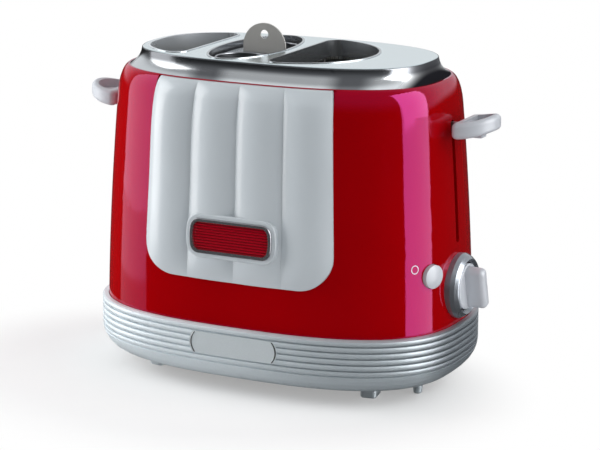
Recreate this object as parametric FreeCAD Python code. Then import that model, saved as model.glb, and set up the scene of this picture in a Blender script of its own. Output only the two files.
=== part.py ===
"""Hot dog toaster: an upright oval toaster that warms two buns and two sausages standing on end.

Units are millimetres. +X points to the control end, -Y to the front, +Z up.
The origin is on the floor under the middle of the base.
"""
import FreeCAD
import Part
import math
import os

from FreeCAD import Placement, Rotation, Vector

os.makedirs("parts", exist_ok=True)

X_AXIS = Vector(1, 0, 0)
Y_AXIS = Vector(0, 1, 0)
Z_AXIS = Vector(0, 0, 1)
FAR = 400.0                    # longer than the whole product, for cutting tools

# ---------------------------------------------------------------- driving sizes: the oval plan
PLAN_POWER = 2.7               # 2 is an ellipse, higher is squarer
PLAN_POINTS = 24               # points that a closed oval curve passes through
PLAN_INSET = 49.4              # half length minus half depth, the same at every height

# heights above the floor, from the feet up
FOOT_HEIGHT = 10.6
SKIRT_BOTTOM_Z = FOOT_HEIGHT - 0.4
SKIRT_TOP_Z = 51.5
CHASSIS_DROP = 5.5             # the chassis plate's top face below the band's top
CHASSIS_Z = SKIRT_TOP_Z - CHASSIS_DROP
BODY_TOP_Z = 224.6
CAP_HEIGHT = 13.1
DECK_Z = BODY_TOP_Z + CAP_HEIGHT
FIT_GAP = 0.3                  # between pieces that sit in one another

# basket: two wells side by side in an elliptical plate
WELL_RADIUS = 18.4
WELL_WALL = 0.8
WELL_GAP = 15.2                # between the two wells
WELL_SPREAD = WELL_RADIUS + WELL_GAP / 2
WELL_WINDOWS = 6
BASKET_SIDE_RIM = 4.0          # plate beside a well
BASKET_END_RIM = 8.6           # plate before and behind the wells
BASKET_HALF_LENGTH = WELL_RADIUS + BASKET_SIDE_RIM
BASKET_HALF_DEPTH = WELL_SPREAD + WELL_RADIUS + BASKET_END_RIM
BASKET_DROP = 5.7              # the plate hangs this far under the deck
BASKET_PLATE_Z = DECK_Z - BASKET_DROP
BASKET_SHEET = 1.2
TAB_WIDTH = 34.5
TAB_HEIGHT = 21.8
TAB_SHIFT = 3.7                # the tab stands off the basket's middle
TAB_Y = 4.0
TAB_HOLE_RADIUS = 3.3
TAB_HOLE_RISE = 9.0            # above the middle of the tab's round top

# openings in the deck, round the basket's
BASKET_SLOT_X = -26.0
BASKET_SIDE_ROOM = 2.6         # between the plate and its opening, at the sides
BASKET_END_ROOM = 3.0          # and at the two ends
BASKET_SLOT_HALF_LENGTH = BASKET_HALF_LENGTH + BASKET_SIDE_ROOM
BASKET_SLOT_HALF_DEPTH = BASKET_HALF_DEPTH + BASKET_END_ROOM
BASKET_SHIFT = 0.8             # the basket hangs this far right of its opening's middle
BASKET_X = BASKET_SLOT_X + BASKET_SHIFT
TAB_X = BASKET_X + TAB_SHIFT
LEFT_BRIDGE = 12.0             # deck between the left opening and the basket's
RIGHT_BRIDGE = 10.0
LEFT_SLOT_INNER_X = BASKET_SLOT_X - BASKET_SLOT_HALF_LENGTH - LEFT_BRIDGE
RIGHT_SLOT_INNER_X = BASKET_SLOT_X + BASKET_SLOT_HALF_LENGTH + RIGHT_BRIDGE
SLOT_CORNER = 9.0

# deck and steel cap
SHEET = 1.2                    # sheet steel of the chassis and the cap
LINER_SHEET = 0.8
BASKET_OPENING_RIM = 5.9       # deck left between its edge and each opening
OPENING_RIM = 5.8
RIGHT_OPENING_RIM = 7.4
DECK_INSET = 49.3              # the deck's half length minus its half depth
DECK_HALF_DEPTH = BASKET_SLOT_HALF_DEPTH + BASKET_OPENING_RIM
DECK_A = DECK_HALF_DEPTH + DECK_INSET
RIGHT_SLOT_HALF_DEPTH = DECK_HALF_DEPTH - RIGHT_OPENING_RIM
RIGHT_SLOT_STRETCH = 3.5       # the right opening is longer than half its depth by this
RIGHT_SLOT_LENGTH = RIGHT_SLOT_HALF_DEPTH + RIGHT_SLOT_STRETCH
CHAMBER_MARGIN = 8.0           # from the right opening to the chamber's flat wall
CHAMBER_RIGHT_X = RIGHT_SLOT_INNER_X + RIGHT_SLOT_LENGTH + CHAMBER_MARGIN
CAP_FLARE = 8.3                # the cap's foot stands this far outside the deck
CAP_COVE_FLARE = 2.8           # and the middle of its hollow wall this far
CAP_COVE_RISE = 4.5            # at this height above the body
CAP_FOOT_A = DECK_A + CAP_FLARE
CAP_COVE_A = DECK_A + CAP_COVE_FLARE
CAP_EDGE_RADIUS = 1.6          # of the deck's rounded edge
COLLAR_WALL = 1.0
COLLAR_DEPTH = 12.0
COLLAR_PROUD = 0.4
COLLAR_LIP = 0.8               # the collar's rim lies this far over the deck

# silver base band
SKIRT_A = 141.4
SKIRT_WALL = 2.9
SKIRT_ROUND_DEPTH = 18.9       # how far the rounded lower edge turns in
SKIRT_FOOT_A = SKIRT_A - SKIRT_ROUND_DEPTH
SKIRT_ROUND_HEIGHT = 20.0      # height of that rounded edge
SKIRT_LIP_HEIGHT = 3.0
GROOVE_COUNT = 6
GROOVE_DROP = 4.5              # the highest groove below the band's top
GROOVE_TOP_Z = SKIRT_TOP_Z - GROOVE_DROP
GROOVE_PITCH = 4.4
GROOVE_WIDTH = 1.3
GROOVE_DEPTH = 1.0

# red body, from the band up to the cap
BAND_LEDGE = 4.4               # the band stands this far outside the body's foot
BODY_FOOT_A = SKIRT_A - BAND_LEDGE
HEAD_LEDGE = 15.1              # the head of the wall stands this far outside the deck
BODY_HEAD_A = DECK_A + HEAD_LEDGE
BODY_BULGE = 1.4               # how far the middle of the wall stands out of a straight line
BODY_WALL = 2.5
SHOULDER_HEIGHT = 19.6         # height over which the wall rounds inwards at the top
SHOULDER_Z = BODY_TOP_Z - SHOULDER_HEIGHT
SHOULDER_INSET = 6.5
MOUTH_ROOM = 1.3               # between the deck's outline and the hole in the body's top
BODY_MOUTH_A = DECK_A + MOUTH_ROOM

# name plate, left bare
NAME_PLATE_LENGTH = 70.0
NAME_PLATE_X = 1.75
NAME_PLATE_BOW = 3.0           # its ends bulge by this much
NAME_PLATE_RECESS = 1.5

# bottom cover, with its screw posts
COVER_THICKNESS = 2.5
COVER_INSET = 2.0              # inside the band's lower edge
COVER_A = SKIRT_FOOT_A - COVER_INSET
COVER_HALF_DEPTH = COVER_A - PLAN_INSET
COVER_TOP_Z = FOOT_HEIGHT + COVER_THICKNESS
COVER_FLANGE = 2.0             # thickness of the skirt's inward flange that sits on the cover
COVER_FLANGE_DEPTH = 6.0
POST_RADIUS = 4.5
SCREW_RADIUS = 1.5
SCREW_HEAD_RADIUS = 3.0
SCREW_HEAD_HEIGHT = 2.0
POST_END_XY = (COVER_A - 20.5, 33.0)           # four posts near the ends
POST_MIDDLE_XY = (45.0, COVER_HALF_DEPTH - 13.8)  # two posts at the front

# feet and cord posts
FOOT_XY = (COVER_A - 34.5, COVER_HALF_DEPTH - 31.1)
FOOT_WIDTH = 12.0
FOOT_DEPTH = 16.0
FOOT_TURN = 10.0               # each foot turns a little to follow the oval
FOOT_PEG_RADIUS = 2.5
CORD_POST_XY = (COVER_A - 6.0, 21.0)
CORD_POST_RADIUS = 3.0
CORD_POST_TOP_RADIUS = 4.0
CORD_POST_CLEARANCE = 0.5      # above the floor

# front panel
FLUTE_PITCH = 37.9             # at the foot of the body; it shrinks with the body's taper
FLUTE_CROWN = 4.6
PANEL_PROUD = 0.9              # panel surface above the body in the grooves
PANEL_SEAT = 1.4               # depth of the body's recess under the panel
PANEL_RISE = 32.5              # the panel's lower edge above the band
PANEL_BOTTOM_Z = SKIRT_TOP_Z + PANEL_RISE
PANEL_CORNER = 25.0
PANEL_FADE_LOW = 26.0          # height over which the flutes rise from the bottom edge
PANEL_FADE_HIGH = 14.0         # height over which they die away at the top

# badge
BADGE_RISE = 32.4              # its middle above the panel's lower edge
BADGE_Z = PANEL_BOTTOM_Z + BADGE_RISE
BADGE_WIDTH = 65.0
BADGE_HEIGHT = 25.0
BADGE_CORNER = 7.0
BADGE_RIM = 2.4
BADGE_PROUD = 1.3              # rim above the crowns of the flutes
BADGE_PAD = 3.2                # panel raised round the badge by this width
BADGE_RIB_COUNT = 9
BADGE_FLOOR = 0.4              # the badge's pocket ends this far above the grooves
BADGE_TOP = FLUTE_CROWN + BADGE_PROUD

# levers and carriage
LEVER_DROP = 32.6              # the levers' middle below the top of the body
LEVER_Z = BODY_TOP_Z - LEVER_DROP
LEVER_LENGTH = 28.2
LEVER_GAP = 1.2                # between the lever and the widest place that it passes
LEVER_HALF_WIDTH = 21.0
LEVER_THICKNESS = 11.5
LEVER_RISE = 8.0               # the tip stands this much higher than the root
LEVER_CORNER = 4.4             # in plan, where the lever meets the body
LEVER_ROUND = 3.4              # of its long edges
LEVER_RIM = 6.0
LEVER_FLOOR = 5.0
ARM_HEIGHT = 8.0
ARM_THICKNESS = 3.0
ARM_REACH = 14.0               # how far the arm reaches into the lever
LEVER_SLOT_WIDTH = 5.0
RACK_DROP = 66.0               # the racks below the levers
RACK_LOW_RISE = 4.0            # the racks above the chassis when the levers are down
RACK_Z = LEVER_Z - RACK_DROP   # floor that the buns and the basket stand on, levers up
CARRIAGE_TRAVEL = RACK_Z - CHASSIS_Z - RACK_LOW_RISE
BEAM_HEIGHT = 8.0
BEAM_THICKNESS = 2.0
RACK_WIRE = 1.2                # radius
RACK_MARGIN = 4.0              # between a rack and the wires of its guard
GUARD_WIRE = 0.8               # radius
SEAT_THICKNESS = 2.0
END_PLATE = 1.6
END_PLATE_HALF_WIDTH = 13.0
ROD_RADIUS = 2.5
ROD_CLEARANCE = 0.06
ROD_SPREAD = 9.5               # half the distance between the two rods at one end
ROD_TOP_DROP = 16.6
ROD_TOP_Z = BODY_TOP_Z - ROD_TOP_DROP
SPRING_RADIUS = 4.0
SPRING_WALL = 1.0
SPRING_LENGTH = 54.0
SPRING_Y = 22.0

# heaters
HEATER_BOARD = 1.0
HEATER_RISE = 16.0             # above the chassis
HEATER_BOTTOM_Z = CHASSIS_Z + HEATER_RISE
HEATER_TOP_DROP = 18.6         # below the top of the body
HEATER_TOP_Z = BODY_TOP_Z - HEATER_TOP_DROP
HEATER_RIBBON = 0.4
RIBBON_HEIGHT = 3.0
RIBBON_COUNT = 7
BEAM_GAP = 3.0                 # half width of every slot that the beam runs in

# timer knob and its silver ring
KNOB_RISE = 26.5               # the knob's axis above the band
KNOB_Z = SKIRT_TOP_Z + KNOB_RISE
KNOB_RADIUS = 16.5
KNOB_STANDOFF = 3.4            # from the wall at the knob's height to the disc's back
KNOB_THICKNESS = 4.3
KNOB_WING_LENGTH = 13.7        # in front of the disc
KNOB_WING_THICKNESS = 9.5
KNOB_WING_ROUND = 4.0
KNOB_TURN = 15.0               # the wing leans from upright by this angle
KNOB_HUB_RADIUS = 6.0
SHAFT_RADIUS = 3.0
SHAFT_CLEARANCE = 0.06
RING_RADIUS = 23.5
RING_PROUD = 8.1               # the ring's front before the wall
TIMER_SIZE = 22.0
TIMER_DEPTH = 14.0
BUSHING_LENGTH = 7.0

# stop button, its switch and the control board
BUTTON_Y = -36.0
BUTTON_RISE = 14.5             # above the knob's axis
BUTTON_Z = KNOB_Z + BUTTON_RISE
BUTTON_RADIUS = 8.4
BUTTON_PROUD = 4.2
BUTTON_TRAVEL = 2.5
BUTTON_CLEARANCE = 0.4
BUTTON_FLANGE_BACK = 4.8       # how far behind the wall's surface the flange's back lies
STEM_RADIUS = 2.5
STEM_LENGTH = 15.0
SWITCH_DEPTH = 2.2
PLUNGER_LENGTH = 1.2
BOARD_THICKNESS = 1.6
BOARD_TOP_Z = BUTTON_Z + 11.5
BOARD_HALF_WIDTH = 40.0
RELAY_SIZE = (10.0, 16.0, 20.0)  # off the board, across it and up it
RELAY_Y = 26.0                 # middle of the relay and of the drum above it
RELAY_RISE = 6.0               # above the chassis
DRUM_RADIUS = 4.0
DRUM_RISE = 44.0

# holding magnet, beside the board
MAGNET_LENGTH = 13.0
MAGNET_TO_BOARD = 3.0
MAGNET_Y = (-36.0, -18.0)
ARMATURE_RISE = 22.0           # the armature above the racks
ARMATURE_THICKNESS = 2.0

# crumb tray, drawn out at the back
TRAY_LEFT_X = 27.5 - COVER_A
TRAY_RIGHT_X = 53.0
TRAY_RISE = 8.9                # above the feet
TRAY_Z = FOOT_HEIGHT + TRAY_RISE
TRAY_HEIGHT = 9.0
TRAY_WALL = 1.2
TRAY_FRONT_Y = 20.1 - COVER_HALF_DEPTH
TRAY_BACK_Y = SKIRT_A - PLAN_INSET - 22.0
RAIL_HALF_LENGTH = COVER_HALF_DEPTH - 27.1
SCOOP_RADIUS = 8.0             # finger scoop in the tray's front
SCOOP_LENGTH = 44.0
SCOOP_DEPTH = 1.7

# cord gland in the bottom cover
GLAND_XY = (COVER_A - 24.5, 0.0)
GLAND_RADIUS = 12.0
GLAND_BORE = 3.5


# ---------------------------------------------------------------- small helpers
def save(node, shape):
    """Write one sub-part and print its volume."""
    shape = shape.removeSplitter()
    shape.exportStep("parts/%s.step" % node)
    print("%-22s solids %2d  volume %9.0f mm3  %s" % (
        node, len(shape.Solids), shape.Volume, "ok" if shape.isValid() else "INVALID"))


def box(x0, x1, y0, y1, z0, z1):
    """A box from its six limits."""
    return Part.makeBox(x1 - x0, y1 - y0, z1 - z0, Vector(x0, y0, z0))


def fused(shapes):
    """One shape from many that touch or overlap."""
    first, rest = shapes[0], shapes[1:]
    return first.fuse(rest) if rest else first


def rod(x, y, z0, z1, radius):
    """An upright cylinder."""
    return Part.makeCylinder(radius, z1 - z0, Vector(x, y, z0), Z_AXIS)


def oval_reach(cosine, sine):
    """How far a unit direction is scaled to meet the squared-off oval."""
    return (abs(cosine) ** PLAN_POWER + abs(sine) ** PLAN_POWER) ** (-1.0 / PLAN_POWER)


def oval_wire(a, b, z):
    """A closed oval curve with half length a and half depth b at height z."""
    points = []
    for step in range(PLAN_POINTS):
        angle = math.radians(135.0) + 2.0 * math.pi * step / PLAN_POINTS
        cosine, sine = math.cos(angle), math.sin(angle)
        reach = oval_reach(cosine, sine)
        points.append(Vector(a * cosine * reach, b * sine * reach, z))
    even_steps = [step / PLAN_POINTS for step in range(PLAN_POINTS + 1)]
    curve = Part.BSplineCurve()
    curve.interpolate(Points=points, Parameters=even_steps, PeriodicFlag=True)
    return Part.Wire([curve.toShape()])


def oval_loft(levels, inset=PLAN_INSET, ruled=False):
    """A solid through ovals given as (height, half length) pairs."""
    wires = [oval_wire(a, a - inset, z) for z, a in levels]
    return Part.makeLoft(wires, True, ruled)


def oval_prism(a, b, z0, z1):
    """An upright oval block."""
    return Part.Face(oval_wire(a, b, z0)).extrude(Vector(0, 0, z1 - z0))


def ellipse_block(x, half_length, half_depth, z0, z1):
    """An upright elliptical block."""
    across = max(half_length, half_depth)
    ellipse = Part.Ellipse(Vector(0, 0, 0), across, min(half_length, half_depth))
    outline = Part.Wire([ellipse.toShape()])
    turn = 90.0 if half_depth > half_length else 0.0
    outline.Placement = Placement(Vector(x, 0, z0), Rotation(Z_AXIS, turn))
    return Part.Face(outline).extrude(Vector(0, 0, z1 - z0))


def oval_half_depth_at(x, a, b):
    """Distance from the long axis to the oval at this x."""
    share = min(abs(x) / a, 1.0)
    return b * (1.0 - share ** PLAN_POWER) ** (1.0 / PLAN_POWER)


def body_half_length(z):
    """Half length of the body's outer wall at height z."""
    share = (z - SKIRT_TOP_Z) / (BODY_TOP_Z - SKIRT_TOP_Z)
    share = min(max(share, 0.0), 1.0)
    straight = BODY_FOOT_A + (BODY_HEAD_A - BODY_FOOT_A) * share
    bulge = 4.0 * BODY_BULGE * share * (1.0 - share)
    turn = min(max((z - SHOULDER_Z) / (BODY_TOP_Z - SHOULDER_Z), 0.0), 1.0)
    return straight + bulge - SHOULDER_INSET * (1.0 - math.sqrt(1.0 - turn * turn * 0.97))


def body_front_y(x, z):
    """Y of the body's front wall at x and height z."""
    a = body_half_length(z)
    return -oval_half_depth_at(x, a, a - PLAN_INSET)


def skirt_half_length(z):
    """Half length of the base band's outside at height z, without its grooves."""
    rise = min(max((z - SKIRT_BOTTOM_Z) / SKIRT_ROUND_HEIGHT, 0.0), 1.0)
    return SKIRT_FOOT_A + (SKIRT_A - SKIRT_FOOT_A) * math.sqrt(1.0 - (1.0 - rise) ** 2)


def spaced(start, end, count):
    """Evenly spaced values, both ends included."""
    return [start + (end - start) * index / (count - 1) for index in range(count)]


# ---------------------------------------------------------------- places along the walls
def button_place():
    """Point on the body's wall where the button's axis comes out, and the outward normal."""
    a = body_half_length(BUTTON_Z)
    b = a - PLAN_INSET
    x = oval_half_depth_at(BUTTON_Y, b, a)
    slope_x = (x / a) ** (PLAN_POWER - 1) / a
    slope_y = -(abs(BUTTON_Y) / b) ** (PLAN_POWER - 1) / b
    normal = Vector(slope_x, slope_y, 0)
    normal.normalize()
    return Vector(x, BUTTON_Y, BUTTON_Z), normal


def plunger_x():
    """X of the switch's plunger: just behind the tilted stem's rim when the button is pressed."""
    point, normal = button_place()
    tip = point - normal * (STEM_LENGTH + BUTTON_TRAVEL)
    return tip.x - STEM_RADIUS * abs(normal.y) - FIT_GAP


def lever_root_x():
    """X of the lever's root: clear of the wall over the whole travel."""
    low = LEVER_Z - CARRIAGE_TRAVEL - LEVER_THICKNESS / 2
    return LEVER_GAP + max(body_half_length(z) for z in spaced(low, LEVER_Z, 12))


LEVER_ROOT_X = lever_root_x()
LEVER_TIP_X = LEVER_ROOT_X + LEVER_LENGTH
KNOB_BACK_X = body_half_length(KNOB_Z) + KNOB_STANDOFF
KNOB_FACE_X = KNOB_BACK_X + KNOB_THICKNESS
KNOB_TIP_X = KNOB_FACE_X + KNOB_WING_LENGTH
RING_FRONT_X = body_half_length(KNOB_Z) + RING_PROUD
BOARD_X = plunger_x() - PLUNGER_LENGTH - SWITCH_DEPTH - BOARD_THICKNESS
MAGNET_X = (BOARD_X - MAGNET_TO_BOARD - MAGNET_LENGTH, BOARD_X - MAGNET_TO_BOARD)


# ---------------------------------------------------------------- body shell
def body_solid(offset=0.0, bottom=CHASSIS_Z, top=BODY_TOP_Z):
    """The body as a closed block, its wall moved inwards by an offset."""
    parts = []
    for heights in (spaced(bottom, SHOULDER_Z, 5), spaced(SHOULDER_Z, BODY_TOP_Z, 6)):
        parts.append(oval_loft([(z, body_half_length(z) - offset) for z in heights]))
    block = fused(parts)
    if top < BODY_TOP_Z:
        block = block.common(box(-FAR, FAR, -FAR, FAR, 0, top))
    return block


def panel_window(margin=0.0):
    """The front panel's outline as a block that runs back from the front."""
    low_half = 2.0 * FLUTE_PITCH + margin
    high_half = 2.0 * FLUTE_PITCH * BODY_HEAD_A / BODY_FOOT_A + margin
    low = PANEL_BOTTOM_Z - margin
    high = BODY_TOP_Z - 0.6 + margin
    corners = [Vector(-low_half, 0, low), Vector(low_half, 0, low),
               Vector(high_half, 0, high), Vector(-high_half, 0, high)]
    block = Part.Face(Part.makePolygon(corners + corners[:1])).extrude(Vector(0, -FAR, 0))
    bottom_edges = [edge for edge in block.Edges
                    if edge.BoundBox.ZMax < low + 0.01 and edge.BoundBox.YLength > FAR - 1]
    return block.makeFillet(PANEL_CORNER + margin, bottom_edges)


def lever_slot(side):
    """The slot in one end wall that the lever arm runs in."""
    low = LEVER_Z - ARM_HEIGHT / 2 - CARRIAGE_TRAVEL - 2.5
    high = LEVER_Z + ARM_HEIGHT / 2 + 1.5
    half = LEVER_SLOT_WIDTH / 2
    near, far = BODY_MOUTH_A - 4.0, FAR
    slot = box(near, far, -half, half, low + half, high - half)
    slot = slot.fuse([Part.makeCylinder(half, far - near, Vector(near, 0, z), X_AXIS)
                      for z in (low + half, high - half)])
    return slot if side > 0 else slot.mirror(Vector(0, 0, 0), X_AXIS)


def body_shell(outside, inside):
    shell = outside.cut(inside)
    mouth = oval_prism(BODY_MOUTH_A, BODY_MOUTH_A - PLAN_INSET, BODY_TOP_Z - 20, BODY_TOP_Z + 5)
    seat = body_solid(PANEL_SEAT)
    recess = panel_window(0.15).common(outside).cut(seat)
    knob_hole = Part.makeCylinder(KNOB_HUB_RADIUS + 2.0, FAR, Vector(BOARD_X, 0, KNOB_Z), X_AXIS)
    button_hole = button_frame(Part.makeCylinder(
        BUTTON_RADIUS + BUTTON_CLEARANCE, 20, Vector(0, 0, -10), Z_AXIS))
    return shell.cut([mouth, recess, knob_hole, button_hole, lever_slot(1), lever_slot(-1)])


# ---------------------------------------------------------------- front panel and badge
def flute_section(z):
    """Closed outline of the fluted panel at one height."""
    scale = body_half_length(z) / BODY_FOOT_A
    fade_low = min((z - PANEL_BOTTOM_Z + 2.0) / PANEL_FADE_LOW, 1.0)
    fade_high = min((BODY_TOP_Z + 1.0 - z) / PANEL_FADE_HIGH, 1.0)
    crown = FLUTE_CROWN * math.sin(math.pi / 2 * fade_low) * math.sin(math.pi / 2 * fade_high)
    grooves = []
    for index in range(-2, 3):
        x = index * FLUTE_PITCH * scale
        grooves.append(Vector(x, body_front_y(x, z) - PANEL_PROUD, z))
    edges = []
    for left, right in zip(grooves, grooves[1:]):
        x = (left.x + right.x) / 2
        middle = Vector(x, body_front_y(x, z) - PANEL_PROUD - crown, z)
        edges.append(Part.Arc(left, middle, right).toShape())
    back_y = body_front_y(0, BODY_TOP_Z) + 12.0
    back_left = Vector(grooves[0].x, back_y, z)
    back_right = Vector(grooves[-1].x, back_y, z)
    edges.append(Part.makeLine(grooves[-1], back_right))
    edges.append(Part.makeLine(back_right, back_left))
    edges.append(Part.makeLine(back_left, grooves[0]))
    return Part.Wire(edges)


def panel_heights():
    """Heights of the panel's cross-sections: close together where the flutes fade."""
    low = [PANEL_BOTTOM_Z + share * PANEL_FADE_LOW for share in (-0.05, 0.25, 0.55, 1.0)]
    high = [BODY_TOP_Z - share * PANEL_FADE_HIGH for share in (1.0, 0.7, 0.4, 0.15, 0.0)]
    middle = (low[-1] + high[0]) / 2
    return low + [middle] + high


def badge_frame_place(shape):
    """Move a shape drawn face up (X right, Y up, Z out) onto the panel's middle."""
    slope = (body_front_y(0, BADGE_Z + 10) - body_front_y(0, BADGE_Z - 10)) / 20.0
    tilt = math.degrees(math.atan(slope))
    origin = Vector(0, body_front_y(0, BADGE_Z) - PANEL_PROUD, BADGE_Z)
    shape = shape.copy()
    shape.Placement = Placement(origin, Rotation(X_AXIS, 90.0 - tilt))
    return shape


def badge_block(shrink, z0, z1):
    """The badge's outline with bowed ends, as a block."""
    half_x = BADGE_WIDTH / 2 - shrink
    half_y = BADGE_HEIGHT / 2 - shrink
    bow = 2.0
    points = [Vector(-half_x + bow, -half_y, z0), Vector(half_x - bow, -half_y, z0),
              Vector(half_x - bow, half_y, z0), Vector(-half_x + bow, half_y, z0)]
    outline = Part.Wire([
        Part.makeLine(points[0], points[1]),
        Part.Arc(points[1], Vector(half_x, 0, z0), points[2]).toShape(),
        Part.makeLine(points[2], points[3]),
        Part.Arc(points[3], Vector(-half_x, 0, z0), points[0]).toShape()])
    block = Part.Face(outline).extrude(Vector(0, 0, z1 - z0))
    upright = [edge for edge in block.Edges if edge.BoundBox.ZLength > abs(z1 - z0) - 0.01]
    return block.makeFillet(max(BADGE_CORNER - shrink, 1.0), upright)


def front_panel():
    panel = Part.makeLoft([flute_section(z) for z in panel_heights()], True, False)
    panel = panel.common(panel_window())
    panel = panel.cut(body_solid(PANEL_SEAT))
    pad = badge_block(-BADGE_PAD, BADGE_FLOOR, BADGE_TOP - BADGE_PROUD)
    top_edges = [edge for edge in pad.Edges if edge.BoundBox.ZMin > BADGE_TOP - BADGE_PROUD - 0.01]
    pad = badge_frame_place(pad.makeFillet(1.0, top_edges))
    pocket = badge_frame_place(badge_block(-0.1, BADGE_FLOOR, 20))
    return panel.fuse(pad).cut(pocket)


def badge_frame():
    rim = badge_block(0, BADGE_FLOOR, BADGE_TOP)
    top_edges = [edge for edge in rim.Edges if edge.BoundBox.ZMin > BADGE_TOP - 0.01]
    rim = rim.makeFillet(0.7, top_edges)
    well = badge_block(BADGE_RIM, BADGE_FLOOR + 0.8, BADGE_TOP + 1)
    return badge_frame_place(rim.cut(well))


def badge_plate():
    """A ribbed plate inside the badge's rim."""
    floor = BADGE_FLOOR + 0.8
    top = BADGE_TOP - 1.5
    plate = badge_block(BADGE_RIM + 0.1, floor, top)
    rib_pitch = (BADGE_HEIGHT - 2 * BADGE_RIM) / (BADGE_RIB_COUNT + 1)
    ribs = []
    for index in range(BADGE_RIB_COUNT):
        y = (index - (BADGE_RIB_COUNT - 1) / 2) * rib_pitch
        profile = Part.makePolygon([Vector(-FAR, y - rib_pitch * 0.3, top), Vector(-FAR, y, top + 0.7),
                                    Vector(-FAR, y + rib_pitch * 0.3, top),
                                    Vector(-FAR, y - rib_pitch * 0.3, top)])
        ribs.append(Part.Face(profile).extrude(Vector(2 * FAR, 0, 0)))
    inner = badge_block(BADGE_RIM + 1.6, top - 0.5, top + 2)
    ribs = [rib.common(inner) for rib in ribs]
    return badge_frame_place(fused([plate] + ribs))


# ---------------------------------------------------------------- deck openings
def left_slot(grow, z0, z1):
    """D-shaped bun opening that follows the deck's left end."""
    a = DECK_A - OPENING_RIM + grow
    block = oval_prism(a, a - DECK_INSET, z0, z1)
    inner_x = LEFT_SLOT_INNER_X + grow
    block = block.common(box(-FAR, inner_x, -FAR, FAR, z0, z1))
    corners = [edge for edge in block.Edges
               if edge.BoundBox.ZLength > z1 - z0 - 0.01 and edge.BoundBox.XMin > inner_x - 0.01]
    return block.makeFillet(SLOT_CORNER + grow, corners)


def right_slot(grow, z0, z1):
    """D-shaped bun opening: a half ellipse with its flat side to the basket."""
    inner_x = RIGHT_SLOT_INNER_X - grow
    block = ellipse_block(inner_x, RIGHT_SLOT_LENGTH + 2 * grow, RIGHT_SLOT_HALF_DEPTH + grow, z0, z1)
    block = block.common(box(inner_x, FAR, -FAR, FAR, z0, z1))
    corners = [edge for edge in block.Edges
               if edge.BoundBox.ZLength > z1 - z0 - 0.01 and edge.BoundBox.XMax < inner_x + 0.01]
    return block.makeFillet(SLOT_CORNER + grow, corners)


def basket_slot(grow, z0, z1):
    """Long elliptical opening for the sausage basket."""
    half_length, half_depth = BASKET_SLOT_HALF_LENGTH + grow, BASKET_SLOT_HALF_DEPTH + grow
    return ellipse_block(BASKET_SLOT_X, half_length, half_depth, z0, z1)


SLOTS = (left_slot, basket_slot, right_slot)


def cap_wall(thickness):
    """(height, half length) pairs up the cap's hollow wall, moved inwards by a thickness."""
    foot = Vector(CAP_FOOT_A, BODY_TOP_Z, 0)
    cove = Vector(CAP_COVE_A, BODY_TOP_Z + CAP_COVE_RISE, 0)
    neck = Vector(DECK_A, DECK_Z - CAP_EDGE_RADIUS, 0)
    arc = Part.Arc(foot, cove, neck).toShape()
    centre, radius = arc.Curve.Center, arc.Curve.Radius
    stretch = (radius + thickness) / radius
    points = [centre + (point - centre) * stretch for point in arc.discretize(8)]
    return [(point.y, point.x) for point in points]


def cap_edge():
    """(height, half length) pairs round the deck's edge."""
    pairs = []
    for step in range(5):
        turn = math.radians(90.0 * step / 4)
        pairs.append((DECK_Z - CAP_EDGE_RADIUS * (1.0 - math.sin(turn)),
                      DECK_A - CAP_EDGE_RADIUS * (1.0 - math.cos(turn))))
    return pairs


def steel_cap():
    """Pressed cap: flat deck, a rounded edge and a hollow wall that flares out to the body."""
    outside = oval_loft(cap_wall(0), DECK_INSET).fuse(oval_loft(cap_edge(), DECK_INSET))
    under = DECK_Z - SHEET
    hollow = oval_loft(cap_wall(SHEET), DECK_INSET)
    top = oval_prism(DECK_A - SHEET, DECK_A - SHEET - DECK_INSET, hollow.BoundBox.ZMax - 0.5, under)
    cap = outside.cut([hollow, top, box(-FAR, FAR, -FAR, FAR, 0, BODY_TOP_Z)])
    low, high = DECK_Z - 3, DECK_Z + 3
    return cap.cut([slot(COLLAR_WALL + 0.05, low, high) for slot in SLOTS])


def collar(slot):
    """Steel collar that lines one opening and hangs by its rim on the deck."""
    low, high = DECK_Z - COLLAR_DEPTH, DECK_Z + COLLAR_PROUD
    ring = slot(COLLAR_WALL, low, high).fuse(slot(COLLAR_WALL + COLLAR_LIP, DECK_Z, high))
    return ring.cut(slot(0, low - 1, high + 1))


# ---------------------------------------------------------------- base band, cover and feet
def groove_heights():
    return [GROOVE_TOP_Z - index * GROOVE_PITCH for index in range(GROOVE_COUNT)]


def skirt_outline():
    """(height, half length) pairs of the ribbed outside, from the floor up."""
    shares = (0.0, 0.02, 0.06, 0.13, 0.24, 0.4, 0.58)
    levels = [SKIRT_BOTTOM_Z + share * SKIRT_ROUND_HEIGHT for share in shares]
    levels = [(z, skirt_half_length(z)) for z in levels]
    for z in reversed(groove_heights()):
        for step, depth in ((-0.5, 0.0), (0.0, GROOVE_DEPTH), (0.5, 0.0)):
            height = z + step * GROOVE_WIDTH
            levels.append((height, skirt_half_length(height) - depth))
    levels.append((SKIRT_TOP_Z - 1.0, SKIRT_A))
    levels.append((SKIRT_TOP_Z, SKIRT_A - 1.0))
    return levels


def skirt_inside():
    """The hollow of the base band above the bottom cover's flange."""
    levels = [SKIRT_BOTTOM_Z + share * SKIRT_ROUND_HEIGHT for share in (0.4, 0.62, 1.0)]
    levels = [COVER_TOP_Z + COVER_FLANGE] + levels
    levels = [(z, skirt_half_length(z) - SKIRT_WALL) for z in levels]
    levels.append((SKIRT_TOP_Z - SKIRT_LIP_HEIGHT, SKIRT_A - SKIRT_WALL))
    return levels


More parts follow.
